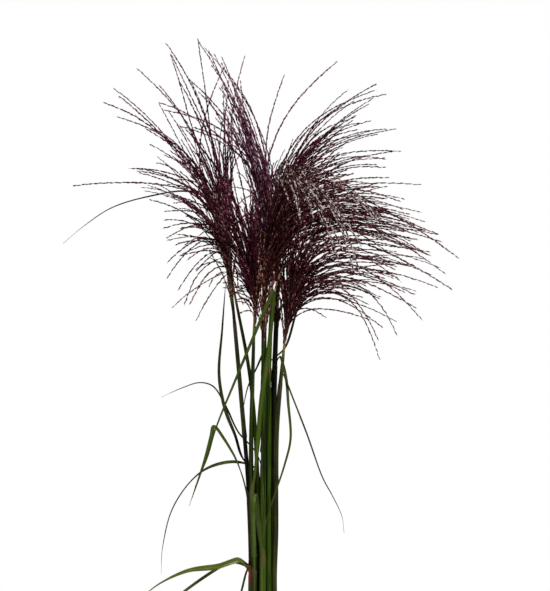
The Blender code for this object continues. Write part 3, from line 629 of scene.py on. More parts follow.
class Nodes:
    """A node tree, with a short call for each kind of node that the finishes use."""

    def __init__(self, tree):
        self.tree = tree

    def add(self, kind, inputs=None, **settings):
        """A new node with its settings, and with its inputs linked or set."""
        node = self.tree.nodes.new(kind)
        for name, value in settings.items():
            setattr(node, name, value)
        for name, value in (inputs or {}).items():
            if isinstance(value, bpy.types.NodeSocket):
                self.tree.links.new(value, node.inputs[name])
            else:
                node.inputs[name].default_value = value
        return node

    def attribute(self, name):
        return self.add("ShaderNodeAttribute", attribute_name=name).outputs["Fac"]

    def place(self, stretch=(1, 1, 1)):
        """The object's own coordinates, stretched."""
        spot = self.add("ShaderNodeTexCoord").outputs["Object"]
        return self.add("ShaderNodeMapping", {"Vector": spot, "Scale": stretch}).outputs["Vector"]

    def noise(self, scale, detail, roughness=0.55, stretch=(1, 1, 1)):
        inputs = {"Vector": self.place(stretch), "Scale": scale, "Detail": detail, "Roughness": roughness}
        return self.add("ShaderNodeTexNoise", inputs).outputs["Fac"]

    def maths(self, operation, a, b=0.0):
        return self.add("ShaderNodeMath", {0: a, 1: b}, operation=operation).outputs[0]

    def times(self, a, b):
        return self.maths("MULTIPLY", a, b)

    def plus(self, a, b):
        return self.maths("ADD", a, b)

    def rescaled(self, value, low, high, to_low=0.0, to_high=1.0):
        inputs = {"Value": value, "From Min": low, "From Max": high, "To Min": to_low, "To Max": to_high}
        return self.add("ShaderNodeMapRange", inputs).outputs["Result"]

    def blended(self, share, first, second):
        """Two colours mixed by a share. Each one is a socket or three numbers."""
        pair = [c if isinstance(c, bpy.types.NodeSocket) else (*c, 1) for c in (first, second)]
        return self.add("ShaderNodeMix", {0: share, 6: pair[0], 7: pair[1]}, data_type="RGBA").outputs[2]


class Finish(Nodes):
    """A material's nodes. The values given by name are set on its shader."""

    def __init__(self, name, **values):
        self.material = bpy.data.materials.new(name)
        self.material.use_nodes = True
        super().__init__(self.material.node_tree)
        self.shader = self.tree.nodes["Principled BSDF"]
        for socket, value in values.items():
            self.shader.inputs[socket.replace("_", " ")].default_value = value

    def link(self, socket, value):
        self.tree.links.new(value, self.shader.inputs[socket])

    def done(self, colour, relief, depth, roughness=None):
        """The material, once its colour, its relief's height and depth, and its roughness are linked."""
        self.link("Base Color", colour)
        if roughness is not None:
            self.link("Roughness", roughness)
        bump = self.add("ShaderNodeBump", {"Height": relief, "Distance": depth})
        self.link("Normal", bump.outputs["Normal"])
        return self.material


def clay_material():
    mat = Finish("clay")
    clouds, grain = mat.noise(14, 5, 0.6), mat.noise(900, 2)
    specks = mat.rescaled(mat.noise(420, 1), 0.66, 0.72, 0, 0.55)
    colour = mat.blended(mat.rescaled(clouds, 0.3, 0.7), (0.36, 0.135, 0.070), (0.52, 0.235, 0.130))
    colour = mat.blended(mat.times(grain, 0.30), colour, (0.62, 0.33, 0.20))
    colour = mat.blended(specks, colour, (0.22, 0.085, 0.05))
    # pale lime bloom, in patches that thin out upwards
    height = mat.add("ShaderNodeSeparateXYZ", {"Vector": mat.place()}).outputs["Z"]
    low = mat.rescaled(height, 0.0, 0.13, 0.5, 0)
    patches = mat.rescaled(mat.noise(24, 6, 0.7, (1, 1, 0.45)), 0.50, 0.66)
    colour = mat.blended(mat.times(patches, low), colour, (0.66, 0.52, 0.42))
    relief = mat.plus(grain, mat.times(mat.noise(160, 4), 1.5))
    return mat.done(colour, relief, 0.00035, mat.rescaled(clouds, 0.3, 0.7, 0.78, 0.92))


def bark_material(name, dark, pale):
    mat = Finish(name)
    fibres = mat.noise(160, 4, 0.65, (1, 1, 4))
    colour = mat.blended(mat.rescaled(fibres, 0.35, 0.68), dark, pale)
    colour = mat.blended(mat.times(mat.attribute("shade"), 0.6), colour, dark)
    relief = mat.plus(fibres, mat.noise(700, 2))
    return mat.done(colour, relief, 0.0006, mat.rescaled(fibres, 0.3, 0.7, 0.98, 0.75))


def culm_material(name, deep, lit, tinge_share):
    """Fine streaks, a purple tinge in patches, near-black stripes of painted shade and a yellow-green neck
    under the plume.
    """
    mat = Finish(name, Specular_IOR_Level=0.22)
    streaks = mat.noise(900, 3, stretch=(1, 1, 0.04))
    tinge = mat.noise(26, 3, stretch=(1, 1, 0.25))
    tinge = mat.rescaled(tinge, 0.62 - tinge_share, 0.80 - tinge_share, 0, 0.85)
    # near-black stripes along the culm: painted shade, for the shade that falls between the culms
    painted_shade_stripes = mat.rescaled(mat.noise(300, 2, stretch=(1, 1, 0.012)), 0.50, 0.60, 0, 0.8)
    neck = mat.rescaled(mat.attribute("along"), 0.955, 0.985)
    colour = mat.blended(mat.rescaled(streaks, 0.3, 0.7), deep, lit)
    colour = mat.blended(tinge, colour, (0.040, 0.012, 0.014))
    colour = mat.blended(painted_shade_stripes, colour, (0.006, 0.010, 0.0012))
    colour = mat.blended(neck, colour, (0.34, 0.30, 0.07))
    return mat.done(colour, streaks, 0.00012, mat.rescaled(streaks, 0.3, 0.7, 0.32, 0.50))


def straw_material():
    mat = Finish("straw", Roughness=0.7)
    streaks = mat.noise(1100, 4, 0.7, (1, 1, 0.06))
    blotches = mat.rescaled(mat.noise(130, 3), 0.52, 0.72, 0, 0.8)
    colour = mat.blended(mat.rescaled(streaks, 0.3, 0.7), (0.13, 0.075, 0.035), (0.42, 0.29, 0.15))
    colour = mat.blended(blotches, colour, (0.09, 0.04, 0.025))
    return mat.done(colour, streaks, 0.0002)


def leaf_material(name, upper, deep, vein, blush_and_shade, blush_and_shade_foot=-0.14):
    """Green with fine veins, a pale midrib, a blush at the blade's foot and a browned tip; on the shaded
    kind the blush is near-black painted shade.
    """
    mat = Finish(name, Specular_IOR_Level=0.22)
    across, along = mat.attribute("across"), mat.attribute("along")
    side = mat.maths("ABSOLUTE", across)
    mottle = mat.noise(60, 4, stretch=(1, 1, 0.2))
    ribs = mat.rescaled(mat.maths("SINE", mat.times(across, VEINS)), -1, 1)
    midrib = mat.rescaled(side, 0.04, 0.14, 0.75, 0)
    edge = mat.rescaled(side, 0.86, 1.0, 0, 0.5)
    # where the blush lies; on the shaded kind its near-black colour down the sheath is painted shade
    collar = mat.times(
        mat.rescaled(along, blush_and_shade_foot, blush_and_shade_foot + 0.1), mat.rescaled(along, 0.03, 0.09, 1, 0))
    worn = mat.plus(along, mat.rescaled(mat.noise(45, 3), 0.3, 0.7, -0.10, 0.10))
    colour = mat.blended(mat.rescaled(mottle, 0.32, 0.68), deep, upper)
    colour = mat.blended(mat.times(ribs, 0.28), colour, vein)
    colour = mat.blended(midrib, colour, vein)
    colour = mat.blended(edge, colour, (0.10, 0.045, 0.035))
    colour = mat.blended(collar, colour, blush_and_shade)
    colour = mat.blended(mat.rescaled(worn, 0.90, 1.0, 0, 0.9), colour, (0.20, 0.12, 0.06))
    return mat.done(colour, mat.plus(ribs, mottle), 0.00010, mat.rescaled(mottle, 0.3, 0.7, 0.36, 0.50))


def strand_material(name, base, tip):
    """Rachis and raceme axes: greenish or tan where they start, and darker outwards."""
    mat = Finish(name)
    streaks = mat.noise(420, 3)
    share = mat.rescaled(mat.plus(mat.attribute("along"), mat.times(streaks, 0.2)), 0.10, 0.45)
    colour = mat.blended(share, base, tip)
    colour = mat.blended(mat.rescaled(streaks, 0.40, 0.70, 0, 0.4), colour, (0.030, 0.012, 0.012))
    return mat.done(colour, streaks, 0.00008, mat.rescaled(streaks, 0.3, 0.7, 0.40, 0.58))


def spikelet_material(name, dark, middle, pale, pale_and_highlight_share):
    """Glumes: each one has its own tone, and is darker at its foot. The pale ones are partly painted
    highlights.
    """
    mat = Finish(name, Specular_IOR_Level=0.06)
    fine = mat.noise(700, 3)
    tone = mat.plus(mat.attribute("shade"), mat.rescaled(fine, 0.3, 0.7, -0.18, 0.18))
    colour = mat.blended(mat.rescaled(tone, 0.10, 0.75), dark, middle)
    # pale glumes: partly their own tone, partly painted highlights that stand for glints
    colour = mat.blended(mat.rescaled(tone, 1 - pale_and_highlight_share, 1.06 - pale_and_highlight_share), colour, pale)
    colour = mat.blended(mat.rescaled(mat.attribute("along"), 0.0, 0.25, 0.5, 0), colour, dark)
    return mat.done(colour, fine, 0.00012, mat.rescaled(fine, 0.3, 0.7, 0.22, 0.40))


def hair_material(name, first, second):
    mat = Finish(name, Specular_IOR_Level=0.15)
    fine = mat.noise(300, 2)
    tone = mat.plus(mat.attribute("shade"), mat.rescaled(fine, 0.3, 0.7, -0.2, 0.2))
    colour = mat.blended(mat.rescaled(tone, 0.2, 0.8), first, second)
    return mat.done(colour, fine, 0.00005, mat.rescaled(fine, 0.3, 0.7, 0.24, 0.42))


# ---- Pot and mix ----


def wall_radius(z):
    return POT_BASE_RADIUS + (POT_TOP_RADIUS - POT_BASE_RADIUS) * z / POT_HEIGHT


def rounded(corners, radius, steps=5):
    """A profile whose inner corners are rounded."""
    line = [Vector(corners[0])]
    for before, corner, after in zip(corners, corners[1:], corners[2:]):
        before, corner, after = Vector(before), Vector(corner), Vector(after)
        reach = min(radius, (before - corner).length / 2.2, (after - corner).length / 2.2)
        start = corner + (before - corner).normalized() * reach
        end = corner + (after - corner).normalized() * reach
        line += bent_line(start, corner, end, steps)
    return [*line, Vector(corners[-1])]


def divided(line, longest):
    """The line with points added so that no span is longer than that."""
    made = [line[0]]
    for start, end in zip(line, line[1:]):
        parts = max(1, math.ceil((end - start).length / longest))
        made += [start.lerp(end, (i + 1) / parts) for i in range(parts)]
    return made


def turned(name, profile, steps):
    """A profile of radii and heights turned round the Z axis."""
    bm = bmesh.new()
    verts = [bm.verts.new((radius, 0, z)) for radius, z in profile]
    edges = [bm.edges.new(pair) for pair in zip(verts, verts[1:])]
    turn = dict(cent=(0, 0, 0), axis=(0, 0, 1), angle=math.tau, steps=steps, use_merge=True)
    bmesh.ops.spin(bm, geom=verts + edges, **turn)
    bmesh.ops.remove_doubles(bm, verts=bm.verts, dist=GAP / 10)
    bmesh.ops.recalc_face_normals(bm, faces=bm.faces)
    mesh = bpy.data.meshes.new(name)
    bm.to_mesh(mesh)
    bm.free()
    return in_scene(name, mesh)


def drill(solid, hole):
    """Cut the hole's shape out of the solid."""
    cut = solid.modifiers.new("drain", "BOOLEAN")
    cut.operation, cut.solver, cut.object = "DIFFERENCE", "EXACT", hole
    graph = bpy.context.evaluated_depsgraph_get()
    solid.data = bpy.data.meshes.new_from_object(solid.evaluated_get(graph))
    solid.modifiers.clear()
    bpy.data.objects.remove(hole)


def make_pot():
    rim_foot = POT_HEIGHT - RIM_HEIGHT
    rim_radius = wall_radius(rim_foot) + RIM_PROUD
    rim_top = rim_radius + RIM_FLARE
    inside = POT_TOP_RADIUS - POT_WALL
    corners = [
        (0, 0), (POT_BASE_RADIUS, 0), (wall_radius(rim_foot), rim_foot), (rim_radius, rim_foot),
        (rim_top, POT_HEIGHT), (inside, POT_HEIGHT), (wall_radius(POT_FLOOR) - POT_WALL, POT_FLOOR),
        (0, POT_FLOOR)]
    profile = divided(rounded(corners, CORNER_RADIUS), PROFILE_SPAN)
    # faint throwing rings on the wall outside
    for point in profile:
        if point.x > POT_BASE_RADIUS * 0.98 and 0.01 < point.y < POT_HEIGHT - CORNER_RADIUS:
            point.x += RING_DEPTH * (math.sin(point.y * 1300) + 0.7 * math.sin(point.y * 530 + 1))
    pot = turned("pot_fired_clay", [tuple(point) for point in profile], TURNED_STEPS)
    for i in range(DRAIN_HOLES):
        turn = math.tau * i / DRAIN_HOLES
        centre = Vector((math.cos(turn), math.sin(turn), 0)) * DRAIN_CIRCLE
        cutter = Pile()
        line = [centre - UP * POT_FLOOR, centre + UP * 2 * POT_FLOOR]
        tube(cutter, line, [DRAIN_RADIUS] * 2, DRAIN_SIDES, (1, 0, 0))
        drill(pot, cutter.build("drain_cutter", []))
    pot.data.materials.clear()
    pot.data.materials.append(clay_material())
    pot.data.shade_smooth()
    pot.data.set_sharp_from_angle(angle=SHARP_ANGLE)
    settle(pot, "clay", "pot")


def settle(obj, slot, *nodes):
    """The piece rides on the clump and stands for its CAD nodes; its slot is not used."""
    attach(obj, "root")
    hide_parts(*nodes)


def mix_height(x, y):
    """The height of the peat between the chips, which is a little higher in the middle."""
    radius = np.hypot(x, y)
    crown = MIX_TOP - MIX_CROWN * (radius / (POT_TOP_RADIUS - POT_WALL)) ** 2
    lumps = np.sin(x * 210 + 1) * np.sin(y * 190 + 2) + 0.6 * np.sin(x * 390 + y * 310)
    return crown - PEAT_DEPTH + LUMP_HEIGHT * lumps


def make_mix(rng):
    bottom = POT_FLOOR + GAP
    clearance = POT_WALL + 2 * GAP
    edge = MIX_TOP - MIX_CROWN - 0.004
    outer = wall_radius(edge) - clearance
    pile = Pile()
    rings = []
    turns = np.arange(MIX_SIDES) * math.tau / MIX_SIDES
    radii = [wall_radius(bottom) - clearance, outer, *np.linspace(outer, 0.0008, 50)[1:]]
    for i, radius in enumerate(radii):
        x, y = np.cos(turns) * radius, np.sin(turns) * radius
        z = np.full(MIX_SIDES, bottom) if i == 0 else mix_height(x, y)
        rings.append(np.stack([x, y, z], -1))
    pile.add(np.concatenate(rings), skin(len(rings), MIX_SIDES), 0, 0.5)
    add_chips(pile, rng)
    mix = pile.build("bark_chip_mix", [
        bark_material("mix_peat", (0.012, 0.008, 0.006), (0.045, 0.027, 0.018)),
        bark_material("mix_bark", (0.050, 0.024, 0.014), (0.165, 0.088, 0.052)),
        bark_material("mix_pale_wood", (0.14, 0.085, 0.050), (0.34, 0.235, 0.145)),
    ])
    settle(mix, "bark_mix", "bark_mix")


def add_chips(pile, rng):
    """Bark chips: flat, uneven slabs that lie over each other in every direction."""
    outer = wall_radius(MIX_TOP - MIX_CROWN) - POT_WALL
    for _ in range(CHIPS):
        size = LEAST_CHIP + CHIP_RANGE * rng.random() ** 2.2
        half = np.array([size, size * rng.uniform(0.35, 0.75), size * rng.uniform(0.10, 0.22)])
        radius = (outer - size * 1.02) * math.sqrt(rng.random())
        turn = rng.random() * math.tau
        x, y = math.cos(turn) * radius, math.sin(turn) * radius
        tilt = Quaternion((math.cos(turn * 7), math.sin(turn * 7), 0), rng.normal(0, 0.30))
        spin = Quaternion((0, 0, 1), rng.random() * math.tau)
        matrix = np.array((tilt @ spin).to_matrix())
        angles = (np.arange(CHIP_SIDES) + rng.uniform(-0.3, 0.3, CHIP_SIDES)) * math.tau / CHIP_SIDES
        outline = np.stack([np.cos(angles), np.sin(angles)], -1)
        outline *= rng.uniform(0.72, 1.0, CHIP_SIDES)[:, None]
        bend = rng.uniform(-0.18, 0.30)
        rings = []
        for level, width in CHIP_RINGS:
            ring = np.zeros((CHIP_SIDES, 3))
            ring[:, :2] = outline * width * half[:2]
            ring[:, 2] = level * half[2] + bend * half[0] * outline[:, 0] ** 2
            rings.append(ring + rng.normal(0, 0.03, ring.shape) * half)
        points = np.concatenate(rings) @ matrix.T
        height = mix_height(x, y) + rng.uniform(0.0, 0.0035)
        look = rng.choice([0, 1, 1, 1, 2], p=[0.22, 0.22, 0.22, 0.22, 0.12])
        pile.add(points + (x, y, height), skin(len(rings), CHIP_SIDES), look, rng.random())


# ---- Culms and leaves ----


def leaf_nodes():
    """The heights at which each culm has a node, where a leaf's sheath starts."""
    heights = {name: [] for name in CULMS}
    for culm, collar, sheath, *_ in LEAVES.values():
        heights[culm].append(collar - sheath)
    for culm, _, collar, *_ in LOWEST_LEAVES.values():
        heights[culm].append(collar - LOWER_LEAF_SHEATH)
    return heights


def make_culm(name, nodes, materials, rng):
    line = culm_line(name)
    foot, top = line[0].z, line[-1].z
    fine = [node + shift for node in nodes for shift in np.linspace(-NODE_LENGTH, NODE_LENGTH, 9)]
    heights = sorted({h for h in [*np.arange(foot, top, CULM_SPAN), *fine, top] if foot <= h <= top})
    heights = [heights[0], *(b for a, b in zip(heights, heights[1:]) if b - a > LEAST_SPAN)]
    radii = []
    for height in heights:
        swell = sum(math.exp(-(((height - node) / NODE_LENGTH * 2) ** 2)) for node in nodes)
        radius = grown_radius(name, line, height) * (1 + NODE_SWELL * min(swell, 1))
        if name not in PLUMES:
            radius *= min(1, 0.12 + (top - height) / SPEAR_LENGTH)
        radii.append(radius)
    pile = Pile()
    tube(pile, [at_height(line, h) for h in heights], radii, CULM_SIDES, (1, 0, 0), 0, rng.random())
    for turn in (rng.random() * math.tau, rng.random() * math.tau):
        add_scale(pile, name, line, turn, rng)
    culm = pile.build(f"culm_{name}_grown", materials)
    settle(culm, "culm_skin", f"culm_{name}")


def add_scale(pile, name, culm, turn, rng):
    """A dry scale at a culm's foot that stands off it at the top."""
    bottom, top = MIX_TOP - SCALE_FOOT, MIX_TOP + rng.uniform(*SCALE_TOPS)
    out = Vector((math.cos(turn), math.sin(turn), 0))
    line, halves, curls = [], [], []
    for share in np.linspace(0, 1, SCALE_STEPS).tolist():
        centre = at_height(culm, bottom + (top - bottom) * share)
        radius = grown_radius(name, culm, centre.z) + SCALE_GAP + SCALE_FLARE * share**3
        line.append(centre + out * radius)
        halves.append(radius * 1.9 * (1.02 - share) ** 0.75)
        curls.append(1 / radius)
    thick = [SCALE_THICKNESS] * SCALE_STEPS
    looks = [square_to(-out, way) for way in ways_along(line)]
    ribbon(pile, line, looks, halves, curls, thick, np.linspace(0, 1, SCALE_STEPS), rng.random(), 1)


def blade_half_width(share, width, pointed):
    """It widens over the blade's first eighth, then tapers: soon and evenly if it's pointed."""
    swell = min(1.0, 0.45 + share * 4)
    taper = (1 - share) ** 2 if pointed else (1 - share**2.2) ** 0.9
    return max(width * swell * taper, BLADE_TIP_WIDTH) / 2


def make_leaf(name, material, culm_name, collar, sheath_length, width, tip_look, places, rng):
    culm = culm_line(culm_name)
    centre = at_height(culm, collar)
    rise = (centre - at_height(culm, collar - COLLAR_RISE)).normalized()
    out = square_to(Vector(places[0]) - centre, rise)
    girth = grown_radius(culm_name, culm, collar) + SHEATH_GAP
    line, looks, halves, curls, along = [], [], [], [], []
    bottom, top = collar - sheath_length, collar - COLLAR_RISE / 2
    for i in range(SHEATH_STEPS):
        share = i / SHEATH_STEPS
        middle = at_height(culm, bottom + (top - bottom) * share)
        swell = 1 + NODE_SWELL * math.exp(-share * 60)
        radius = grown_radius(culm_name, culm, middle.z) * swell + SHEATH_GAP
        line.append(middle + out * radius)
        looks.append(-out)
        halves.append(math.pi * radius * SHEATH_WRAP)
        curls.append(1 / radius)
        along.append(-1 + share)
    root, step = centre + out * girth, rise * COLLAR_RISE / 2
    blade_line = smooth_line([root - step, root + step, *places], BLADE_STEPS_PER_SPAN)
    steps = [(after - before).length for before, after in zip(blade_line, blade_line[1:])]
    reached = np.concatenate([[0], np.cumsum(steps)])
    blade_looks = turning_looks(blade_line, -out, Vector(tip_look))
    opening = min(LONGEST_OPENING, width * OPENING)
    rolled = math.pi * girth * SHEATH_WRAP
    for spot, look, travelled in zip(blade_line, blade_looks, reached):
        share = travelled / reached[-1]
        open_share = min(1.0, travelled / opening)
        ease = open_share * open_share * (3 - 2 * open_share)
        half = blade_half_width(share, width, name in POINTED)
        line.append(spot)
        looks.append(look)
        halves.append(rolled * (1 - ease) + half * ease)
        # a sheath's full roll opens into a shallow trough
        curls.append(((1 - ease) ** 2) / girth + (1 - (1 - ease) ** 2) * TROUGH / max(half, 0.001))
        along.append(share)
    thick = []
    for half in halves:
        thin = min(EDGE_THICKNESS, half / 3)
        thick.append((thin, min(MIDRIB_THICKNESS, half * 0.6)))
    pile = Pile()
    ribbon(pile, line, looks, halves, curls, thick, along, rng.random(), wave=WAVE)
    leaf = pile.build(f"leaf_{name}_grown", [material])
    settle(leaf, "leaf", f"leaf_{name}")


def lowest_places(culm_name, degrees, collar, reach, rise, drop):
    """The way that a lowest leaf's tip looks, and the places that its blade passes through."""
    foot = at_height(culm_line(culm_name), collar)
    turn = math.radians(degrees)
    out = Vector((math.cos(turn), math.sin(turn), 0))
    places = [foot + out * reach * r + UP * (rise * u - drop * d) for r, u, d in LOWEST_LEAF_ARCH]
    return out + UP / 2, places


def make_leaves(rng):
    kinds = {kind: leaf_material(f"leaf_{kind}", *tones) for kind, tones in LEAF_TONES.items()}
    for name, facts in LEAVES.items():
        make_leaf(name, kinds[LEAF_KINDS.get(name, "fresh")], *facts, rng)
    for i, (name, facts) in enumerate(LOWEST_LEAVES.items()):
        culm_name, _, collar, *_ = facts
        material = kinds["yellowing" if i % 3 == 0 else "fresh"]
        shape = (culm_name, collar, LOWER_LEAF_SHEATH, LOWER_LEAF_WIDTH, *lowest_places(*facts))
        make_leaf(name, material, *shape, rng)


# ---- Plumes ----


def rachis_line(name):
    top = Vector(PLUMES[name][0])
    culm = culm_line(name)
    rise = (culm[-1] - culm[-2]).normalized()
    foot = culm[-1] - rise * GAP
    return bent_line(foot, foot + rise * (top - foot).length / 2, top, RACHIS_STEPS)


def raceme_line(rachis, spot, tip, closeness, arch, rng):
    """The raceme's curve, from its place on the rachis to its tip, with a slight sway."""
    low = min(int(spot * RACHIS_STEPS), RACHIS_STEPS - 1)
    root = rachis[low].lerp(rachis[low + 1], spot * RACHIS_STEPS - low)
    rise = (rachis[low + 1] - rachis[low]).normalized()
    way = tip - root
    leave = rise * closeness + way.normalized() * (1 - closeness)
    leave = (leave + Vector(rng.normal(0, LEAVING_SCATTER, 3))).normalized()
    line = bent_line(root, root + leave * way.length * arch, tip, RACEME_STEPS)
    sway = Vector(rng.normal(0, 1, 3)) * SWAY * way.length
    ripple = Vector(rng.normal(0, 1, 3)) * RIPPLE * way.length
    phase = rng.uniform(0, math.tau)
    for i, point in enumerate(line):
        t = i / RACEME_STEPS
        swing = math.sin(t * RIPPLE_RATE + phase) - math.sin(phase)
        point += sway * math.sin(t * math.pi) + ripple * swing * t
    return line


def leaning(ways, first, second, lean, around):
    """Each place's side of the raceme, the way out at a lean to it, and the way square to that."""
    side = first * np.cos(around)[:, None] + second * np.sin(around)[:, None]
    out = ways * np.cos(lean)[:, None] + side * np.sin(lean)[:, None]
    return side, out, side * np.cos(lean)[:, None] - ways * np.sin(lean)[:, None]


def add_spikelets(pile, line, weight, looks, rng):
    """Pairs of spikelets on alternate sides of a raceme, with hairs at their feet."""
    centres = np.array(line)
    travelled = np.cumsum([0, *np.linalg.norm(np.diff(centres, axis=0), axis=1)])
    bare = min(BARE_LENGTH, travelled[-1] * BARE_SHARE) * rng.uniform(0.6, 1.3)
    spots = np.arange(bare, travelled[-1] - SPIKELET_LENGTH * 0.5, SPIKELET_SPACING)
    spots += rng.normal(0, SPIKELET_SCATTER, len(spots))
    count = len(spots)
    if count < 2:
        return
    places, ahead, behind = (
        np.stack([np.interp(spots + shift, travelled, centres[:, k]) for k in range(3)], -1)
        for shift in (0, 0.004, -0.004))
    ways = unit_rows(ahead - behind)
    first = unit_rows(np.cross(ways, rng.normal(0, 1, 3)))
    second = np.cross(ways, first)
    turn = np.arange(count) * math.pi + rng.normal(0, 0.5, count) + rng.uniform(0, math.tau)
    small = 1 - 0.25 * (spots / travelled[-1]) ** 4
    for spread, shift, scale in SPIKELET_PAIR:
        lean = np.abs(rng.normal(spread, 0.025, count))
        around = turn + shift + rng.normal(0, 0.3, count)
        side, out, flat = leaning(ways, first, second, lean, around)
        size = SPIKELET_LENGTH * scale * small * rng.uniform(0.85, 1.12, count)
        width = SPIKELET_WIDTH / 2 * small * weight * rng.uniform(0.8, 1.15, count)
        sizes = np.stack([size, width * 0.8, width], -1)
        spot = places + side * RACEME_RADIUS * 0.5 + ways * (PAIR_STEP * shift)
        shades = rng.random(count) * (1 - TIP_SHARE) + spots / travelled[-1] * TIP_SHARE
        add_copies(pile, SPIKELET, spot, out, flat, sizes, looks[0], shades)
    lean = rng.uniform(0.18, 0.62, count)
    around = rng.uniform(0, math.tau, count)
    _, out, flat = leaning(ways, first, second, lean, around)
    size = HAIR_LENGTH * rng.uniform(0.6, 1.15, count)
    width = np.full(count, HAIR_WIDTH / 2)
    sizes = np.stack([size, width, width], -1)
    add_copies(pile, NEEDLE, places, out, flat, sizes, looks[1], rng.random(count))


def add_copies(pile, model, places, ways, sides, sizes, look, shades):
    """Copies of a small model, whose first axis is its length, one at each place."""
    shape, faces = model
    others = np.cross(ways, sides)
    points = (
        places[:, None]
        + ways[:, None] * (shape[None, :, :1] * sizes[:, None, :1])
        + sides[:, None] * (shape[None, :, 1:2] * sizes[:, None, 1:2])
        + others[:, None] * (shape[None, :, 2:] * sizes[:, None, 2:])
    )
    firsts = np.arange(len(places))[:, None, None] * len(shape)
    groups = [(firsts + group[None]).reshape(-1, group.shape[1]) for group in faces]
    pile.add(points, groups, look, np.repeat(shades, len(shape)), np.tile(shape[:, 0], len(places)))


def add_raceme(pile, line, looks, rng, weight=1.0):
    weight *= rng.uniform(0.75, 1.15)
    radii = RACEME_RADIUS * weight * np.linspace(1.15, 0.45, len(line))
    tube(pile, line, radii, 3, rng.normal(0, 1, 3), AXIS_LOOK, rng.random())
    add_spikelets(pile, line, weight, looks, rng)


def add_cone(pile, name, rachis, rng):
    """Short racemes that stand close round the plume's foot, from a little way down the culm."""
    rise = (rachis[1] - rachis[0]).normalized()
    neck = NECKS.get(name, 0)
    tawny = TAWNY_SHARES.get(name, USUAL_TAWNY_SHARE)
    for _ in range(int(CONE_RACEMES * (1 + neck / NECK_STEP))):
        climb = rng.uniform(-neck, CONE_TOP)
        root = rachis[0] + rise * climb
        away = square_to(Vector(rng.normal(0, 1, 3)), rise)
        reach = rng.uniform(*CONE_REACH)
        tip = root + rise * reach + away * reach * rng.uniform(*CONE_SPREAD)
        looks = TAWNY_LOOKS if rng.random() < tawny and climb < TAWNY_TOP else CONE_LOOKS
        add_raceme(pile, bent_line(root, root + rise * reach * 0.5, tip, RACEME_STEPS), looks, rng)


def add_spray(pile, rachis, rng):
    """Pale racemes that leave near the plume's top and hang forward; their paleness is partly painted
    highlight.
    """
    for tip in SPRAY_TIPS:
        for _ in range(SPRAY_PER_TIP):
            end = Vector(tip) + Vector(rng.normal(0, 1, 3)) * SPRAY_SCATTER
            line = raceme_line(rachis, rng.uniform(*SPRAY_SPOTS), end, *SPRAY_BEND, rng)
            add_raceme(pile, line, PALE_LOOKS, rng, SPRAY_WEIGHT)


def make_plume(name, materials, rng):
    _, closeness, arch, racemes, least, scatter, tips, lone_tips = PLUMES[name]
    rachis = rachis_line(name)
    pile = Pile()
    radii = np.linspace(RACHIS_BASE_RADIUS, RACHIS_TOP_RADIUS, len(rachis))
    tube(pile, rachis, radii, RACHIS_SIDES, (1, 0.2, 0), RACHIS_LOOK, rng.random())
    tips = [Vector(tip) for tip in tips]
    count = len(tips)
    for k in range(racemes):
        guide = k % count
        tip = tips[guide].copy()
        spot = guide / (count - 1)
        if k >= count:
            other = min(max(guide + int(rng.choice([-1, 1])), 0), count - 1)
            share = rng.uniform(0, 0.5)
            tip = tip.lerp(tips[other], share)
            spot += (other - guide) * share / (count - 1)
            tip += Vector(rng.normal(0, 1, 3)) * scatter
            tip = rachis[-1].lerp(tip, least + (0.97 - least) * rng.random())
        spot = min(max(0.5 * spot + 0.5 * rng.random() + rng.normal(0, 0.05), 0), 1)
        spot = LOWEST_RACEME + (HIGHEST_RACEME - LOWEST_RACEME) * spot
        close, bent = closeness * rng.uniform(0.85, 1.0), arch * rng.uniform(0.85, 1.1)
        line = raceme_line(rachis, spot, tip, close, bent, rng)
        add_raceme(pile, line, MAIN_LOOKS, rng)
    for tip in HANGING_TIPS.get(name, []):
        line = raceme_line(rachis, rng.uniform(*HANGING_SPOTS), Vector(tip), *HANGING_BEND, rng)
        add_raceme(pile, line, HANGING_LOOKS, rng)
    for spot, follow, rise, tip in SINGLE_RACEMES.get(name, []):
        line = raceme_line(rachis, spot, Vector(tip), follow, rise, rng)
        add_raceme(pile, line, MAIN_LOOKS, rng, LONE_WEIGHT)
    for tip in lone_tips:
        spot = rng.uniform(*LONE_SPOTS)
        line = raceme_line(rachis, spot, Vector(tip), closeness, arch * LONE_ARCH, rng)
        add_raceme(pile, line, MAIN_LOOKS, rng, LONE_WEIGHT)
    add_cone(pile, name, rachis, rng)
    if name == "front":
        add_spray(pile, rachis, rng)
    plume = pile.build(f"plume_{name}_grown", materials)
    settle(plume, "plume", f"plume_{name}")


def make_plumes(rng):
    glumes = {kind: spikelet_material(f"spikelet_{kind}", *tones) for kind, tones in GLUME_TONES.items()}
    hairs = {kind: hair_material(f"hair_{kind}", *tones) for kind, tones in HAIR_TONES.items()}
    rachis = strand_material("rachis", (0.26, 0.26, 0.10), (0.13, 0.06, 0.04))
    axis = strand_material("raceme_axis", (0.17, 0.085, 0.045), (0.055, 0.018, 0.022))
    others = [rachis, axis, glumes["pale"], hairs["white"], glumes["cone"], hairs["tan"], glumes["tawny"]]
    for name in PLUMES:
        glume, hair = PLUME_KINDS.get(name, ("burgundy", "pink"))
        make_plume(name, [glumes[glume], hairs[hair], *others], rng)


# ---- Stage ----


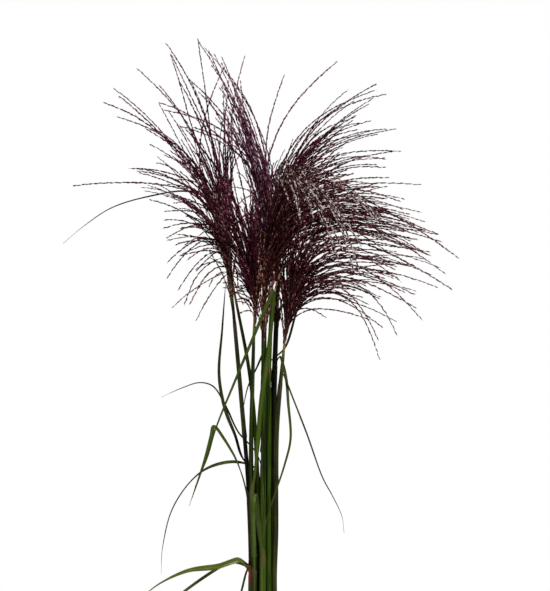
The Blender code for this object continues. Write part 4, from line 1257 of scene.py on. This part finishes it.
def make_floor():
    """A pale floor that fades out round the clump."""
    floor = turned("floor", [(radius, 0) for radius in FLOOR_RINGS], FLOOR_STEPS)
    floor.location.z = -FLOOR_DROP
    mat = Finish("floor", Base_Color=(0.86, 0.86, 0.85, 1), Roughness=0.8)
    radius = mat.add("ShaderNodeVectorMath", {0: mat.place()}, operation="LENGTH").outputs["Value"]
    mat.link("Alpha", mat.rescaled(radius, FLOOR_FADE, FLOOR_RINGS[-1], 1, 0))
    floor.data.materials.append(mat.material)


def make_lamp(name, place, size, power, colour):
    light = bpy.data.lights.new(name, "AREA")
    light.shape, light.size, light.energy, light.color = "DISK", size, power, colour
    lamp = in_scene(name, light)
    lamp.location = place
    lamp.rotation_euler = (LIT_PLACE - Vector(place)).to_track_quat("-Z", "Y").to_euler()


def make_light():
    make_lamp("key_light", (1.3, -1.7, 2.3), 0.7, 46, (1.0, 0.98, 0.95))
    make_lamp("fill_light", (-1.9, -1.6, 1.2), 1.4, 10, (0.95, 0.97, 1.0))
    make_lamp("rim_light", (-0.6, 1.9, 2.0), 0.9, 18, (1.0, 1.0, 1.0))
    world = bpy.data.worlds.new("studio")
    world.use_nodes = True
    nodes = Nodes(world.node_tree)
    background = nodes.tree.nodes["Background"]
    background.inputs["Color"].default_value = (1, 1, 1, 1)
    # white behind the clump, and a dim light on it
    seen = nodes.add("ShaderNodeLightPath").outputs["Is Camera Ray"]
    strength = nodes.rescaled(seen, 0, 1, WORLD_LIGHT, 1)
    nodes.tree.links.new(strength, background.inputs["Strength"])
    bpy.context.scene.world = world
    bpy.context.scene.view_settings.view_transform = "Standard"


def make_camera():
    data = bpy.data.cameras.new("camera")
    data.sensor_width = SENSOR
    data.lens = SENSOR * CAMERA_DISTANCE / PICTURE_HEIGHT
    camera = in_scene("camera", data)
    camera.location = (CAMERA_ACROSS, -CAMERA_DISTANCE, CAMERA_HEIGHT)
    camera.rotation_euler = (math.radians(90), 0, 0)
    bpy.context.scene.camera = camera


def make_culms(rng):
    straw = straw_material()
    kinds = {kind: culm_material(f"culm_{kind}", *tones) for kind, tones in CULM_TONES.items()}
    for name, nodes in leaf_nodes().items():
        make_culm(name, nodes, [kinds[CULM_KINDS.get(name, "green")], straw], rng)


def main():
    rng = np.random.default_rng(SEED)
    make_pot()
    make_mix(rng)
    make_culms(rng)
    make_leaves(rng)
    make_plumes(rng)
    make_floor()
    make_light()
    make_camera()


main()
